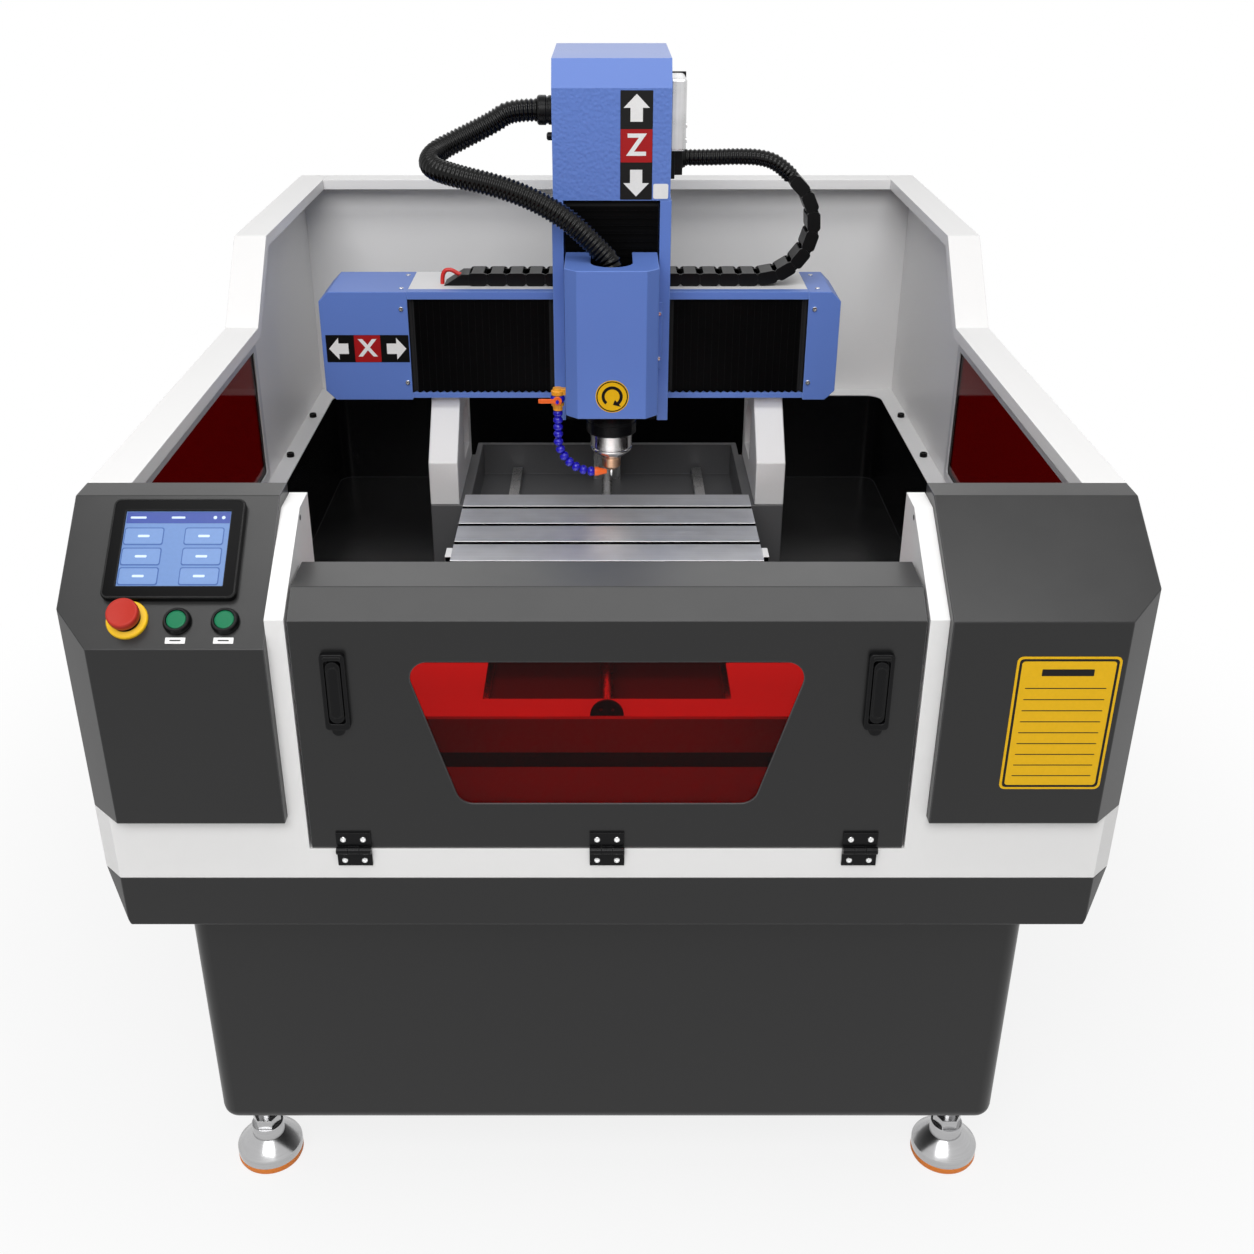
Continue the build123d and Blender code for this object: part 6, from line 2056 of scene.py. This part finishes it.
@dataclass
class SpindleHead(Assembly):
    """Spindle, its cover, the cutter and the coolant line."""

    axis: Flat = (0.008, 0.1525)
    hose_axis: Flat = (-0.0875, 0.135)
    lever_z: float = 0.965
    arrow_start: float = -50.0
    arrow_turn: float = 280.0

    def build(self) -> None:
        """Dress the spindle head."""
        self.shop.skin("z_slide", STEEL, 0.8 * MM)
        self.shop.skin("spindle_cover", BLUE, 1.6 * MM, 3, 25.0)
        self.spindle()
        self.coolant()
        tab = [((0.0935, 0.2225, z), FRONT) for z in (1.012, 1.094)]
        self.shop.screws("tab_screws", tab, 3.6 * MM, 2.2 * MM, Recess.CROSS, SCREW_STEEL, Body.HEAD)
        self.turn_mark()

    def spindle(self) -> None:
        """Turn the collar, nose, collet nut and cutter."""
        place = Matrix.Translation((*self.axis, 0.0))
        collar = [(0.0395, 0.899), (0.0440, 0.900), (0.0450, 0.9015), (0.0450, 0.920), (0.0436, 0.9212),
                  (0.0436, 0.9232), (0.0450, 0.9244), (0.0450, 0.941), (0.0440, 0.943), (0.0398, 0.943),
                  (0.0398, 1.143)]
        self.shop.turned("spindle_collar", collar, place, 64, BLACK, Body.HEAD, ("spindle_body",))
        nose = [(0.013, 0.853), (0.0195, 0.853), (0.0200, 0.8535), (0.0355, 0.8655), (0.0372, 0.868),
                (0.0372, 0.871), (0.0360, 0.872), (0.0360, 0.874), (0.0374, 0.875), (0.0374, 0.9)]
        self.shop.turned("spindle_nose", nose, place, 64, TURNED, Body.HEAD, angle=24.0)
        nut = [(0.0035, 0.8285), (0.0112, 0.8285), (0.0165, 0.834), (0.0170, 0.8345), (0.0170, 0.849),
               (0.0160, 0.8505), (0.0124, 0.8525), (0.0124, 0.90)]
        self.shop.turned("collet_nut", nut, place, 48, COPPER, Body.SPINDLE, ("spindle_shaft",))
        flutes = [(0.0004, 0.8115), (0.0018, 0.8160), (0.0028, 0.8200), (0.0030, 0.8205), (0.0030, 0.8290)]
        self.shop.turned("cutter_bit", flutes, place, 20, TURNED, Body.SPINDLE, ("cutter",))

    def coolant(self) -> None:
        """Dress the valve, jointed hose and nozzle."""
        x, y = self.hose_axis
        stand = Matrix.Translation((x, y, 0.0))
        stem = [(0.0085, 0.9445), (0.0085, 0.952), (0.0115, 0.953), (0.0115, 0.957), (0.0095, 0.958),
                (0.0095, 0.972), (0.0115, 0.973), (0.0115, 0.980), (0.0085, 0.981), (0.0085, 0.985)]
        valve = Shape().lathe(stem, stand, 28)
        valve.block((x + 0.006, y - 0.006, 0.973), (-0.0725, y + 0.006, 0.984))
        self.shop.make(valve, "coolant_valve_body", BRASS_ORANGE, Body.HEAD, 0.5 * MM, ("coolant_fittings",))
        bulge = [(0.0100, 0.9585), (0.0125, 0.962), (0.0130, 0.965), (0.0125, 0.968), (0.0100, 0.9715)]
        ball = Shape().lathe(bulge, stand, 28)
        ball.lathe([(0.0030, 0.0), (0.0030, 0.013)], frame_at((x, y - 0.009, self.lever_z), FRONT), 16)
        self.shop.make(ball, "coolant_valve_ball", COOLANT_BLUE, Body.HEAD, angle=40.0)
        hub = frame_at((x, 0.1225, self.lever_z), FRONT)
        boss = [(0.0032, 0.0005), (0.0078, 0.0005), (0.0080, 0.001), (0.0080, 0.004), (0.0072, 0.0046),
                (0.0032, 0.0046)]
        lever = Shape().lathe(boss, hub, 28)
        grip = [(-0.005, -0.0035), (-0.028, -0.0040), (-0.0335, -0.0034), (-0.0338, 0.0034),
                (-0.028, 0.0040), (-0.005, 0.0035)]
        lever.prism(list(reversed(grip)), hub, 0.0040, 0.0005)
        self.shop.make(lever, "coolant_lever_grip", COOLANT_ORANGE, Body.VALVE, 0.6 * MM, ("valve_lever",))
        self.shop.skin("coolant_hose", COOLANT_BLUE, angle=50.0)
        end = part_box("coolant_fittings")[1][0]
        tip = frame_at((end - 0.022, y, 0.828), RIGHT, BACK)
        nozzle = [(0.0082, 0.0), (0.0082, 0.006), (0.0070, 0.008), (0.0042, 0.021), (0.0034, 0.022),
                  (0.0020, 0.021)]
        self.shop.turned("coolant_nozzle", nozzle, tip, 28, COOLANT_ORANGE, Body.HEAD, angle=40.0)

    def turn_mark(self) -> None:
        """Stick the spindle's turning-direction mark on the cover."""
        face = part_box("spindle_cover")[0][1]
        place = frame_at((0.009, face, 0.984), FRONT)
        self.shop.raised("turn_mark_disc", circle(0.029, 48), place, 0.3 * MM, PRINT_YELLOW, Body.HEAD)
        film = 0.5 * MM
        ink = Shape().ring(circle(0.0275, 48), circle(0.0255, 48), place, film)
        outer, inner = [], []
        steps = 26
        for step in range(steps + 1):
            angle = math.radians(self.arrow_start + self.arrow_turn * step / steps)
            outer.append((0.0185 * math.cos(angle), 0.0185 * math.sin(angle)))
            inner.append((0.0130 * math.cos(angle), 0.0130 * math.sin(angle)))
        ink.prism(outer + list(reversed(inner)), place, film)
        end = math.radians(self.arrow_start)
        head = []
        for reach, turn in ((0.0240, 0.0), (0.0075, 0.0), (0.0150, -0.62)):
            head.append((reach * math.cos(end + turn), reach * math.sin(end + turn)))
        ink.prism(head, place, film)
        self.shop.make(ink, "turn_mark_arrow", BLACK_PRINT_AND_SHADE, Body.HEAD)


def main() -> None:
    """Build the studio and dress the machine."""
    logging.basicConfig(level=logging.INFO)
    shop = Workshop()
    Studio().build()
    for assembly in (Cables, Enclosure, Consoles, Door, BedAndTable, Beam, Carriage, SpindleHead):
        assembly(shop).build()


if __name__ == "__main__":
    main()
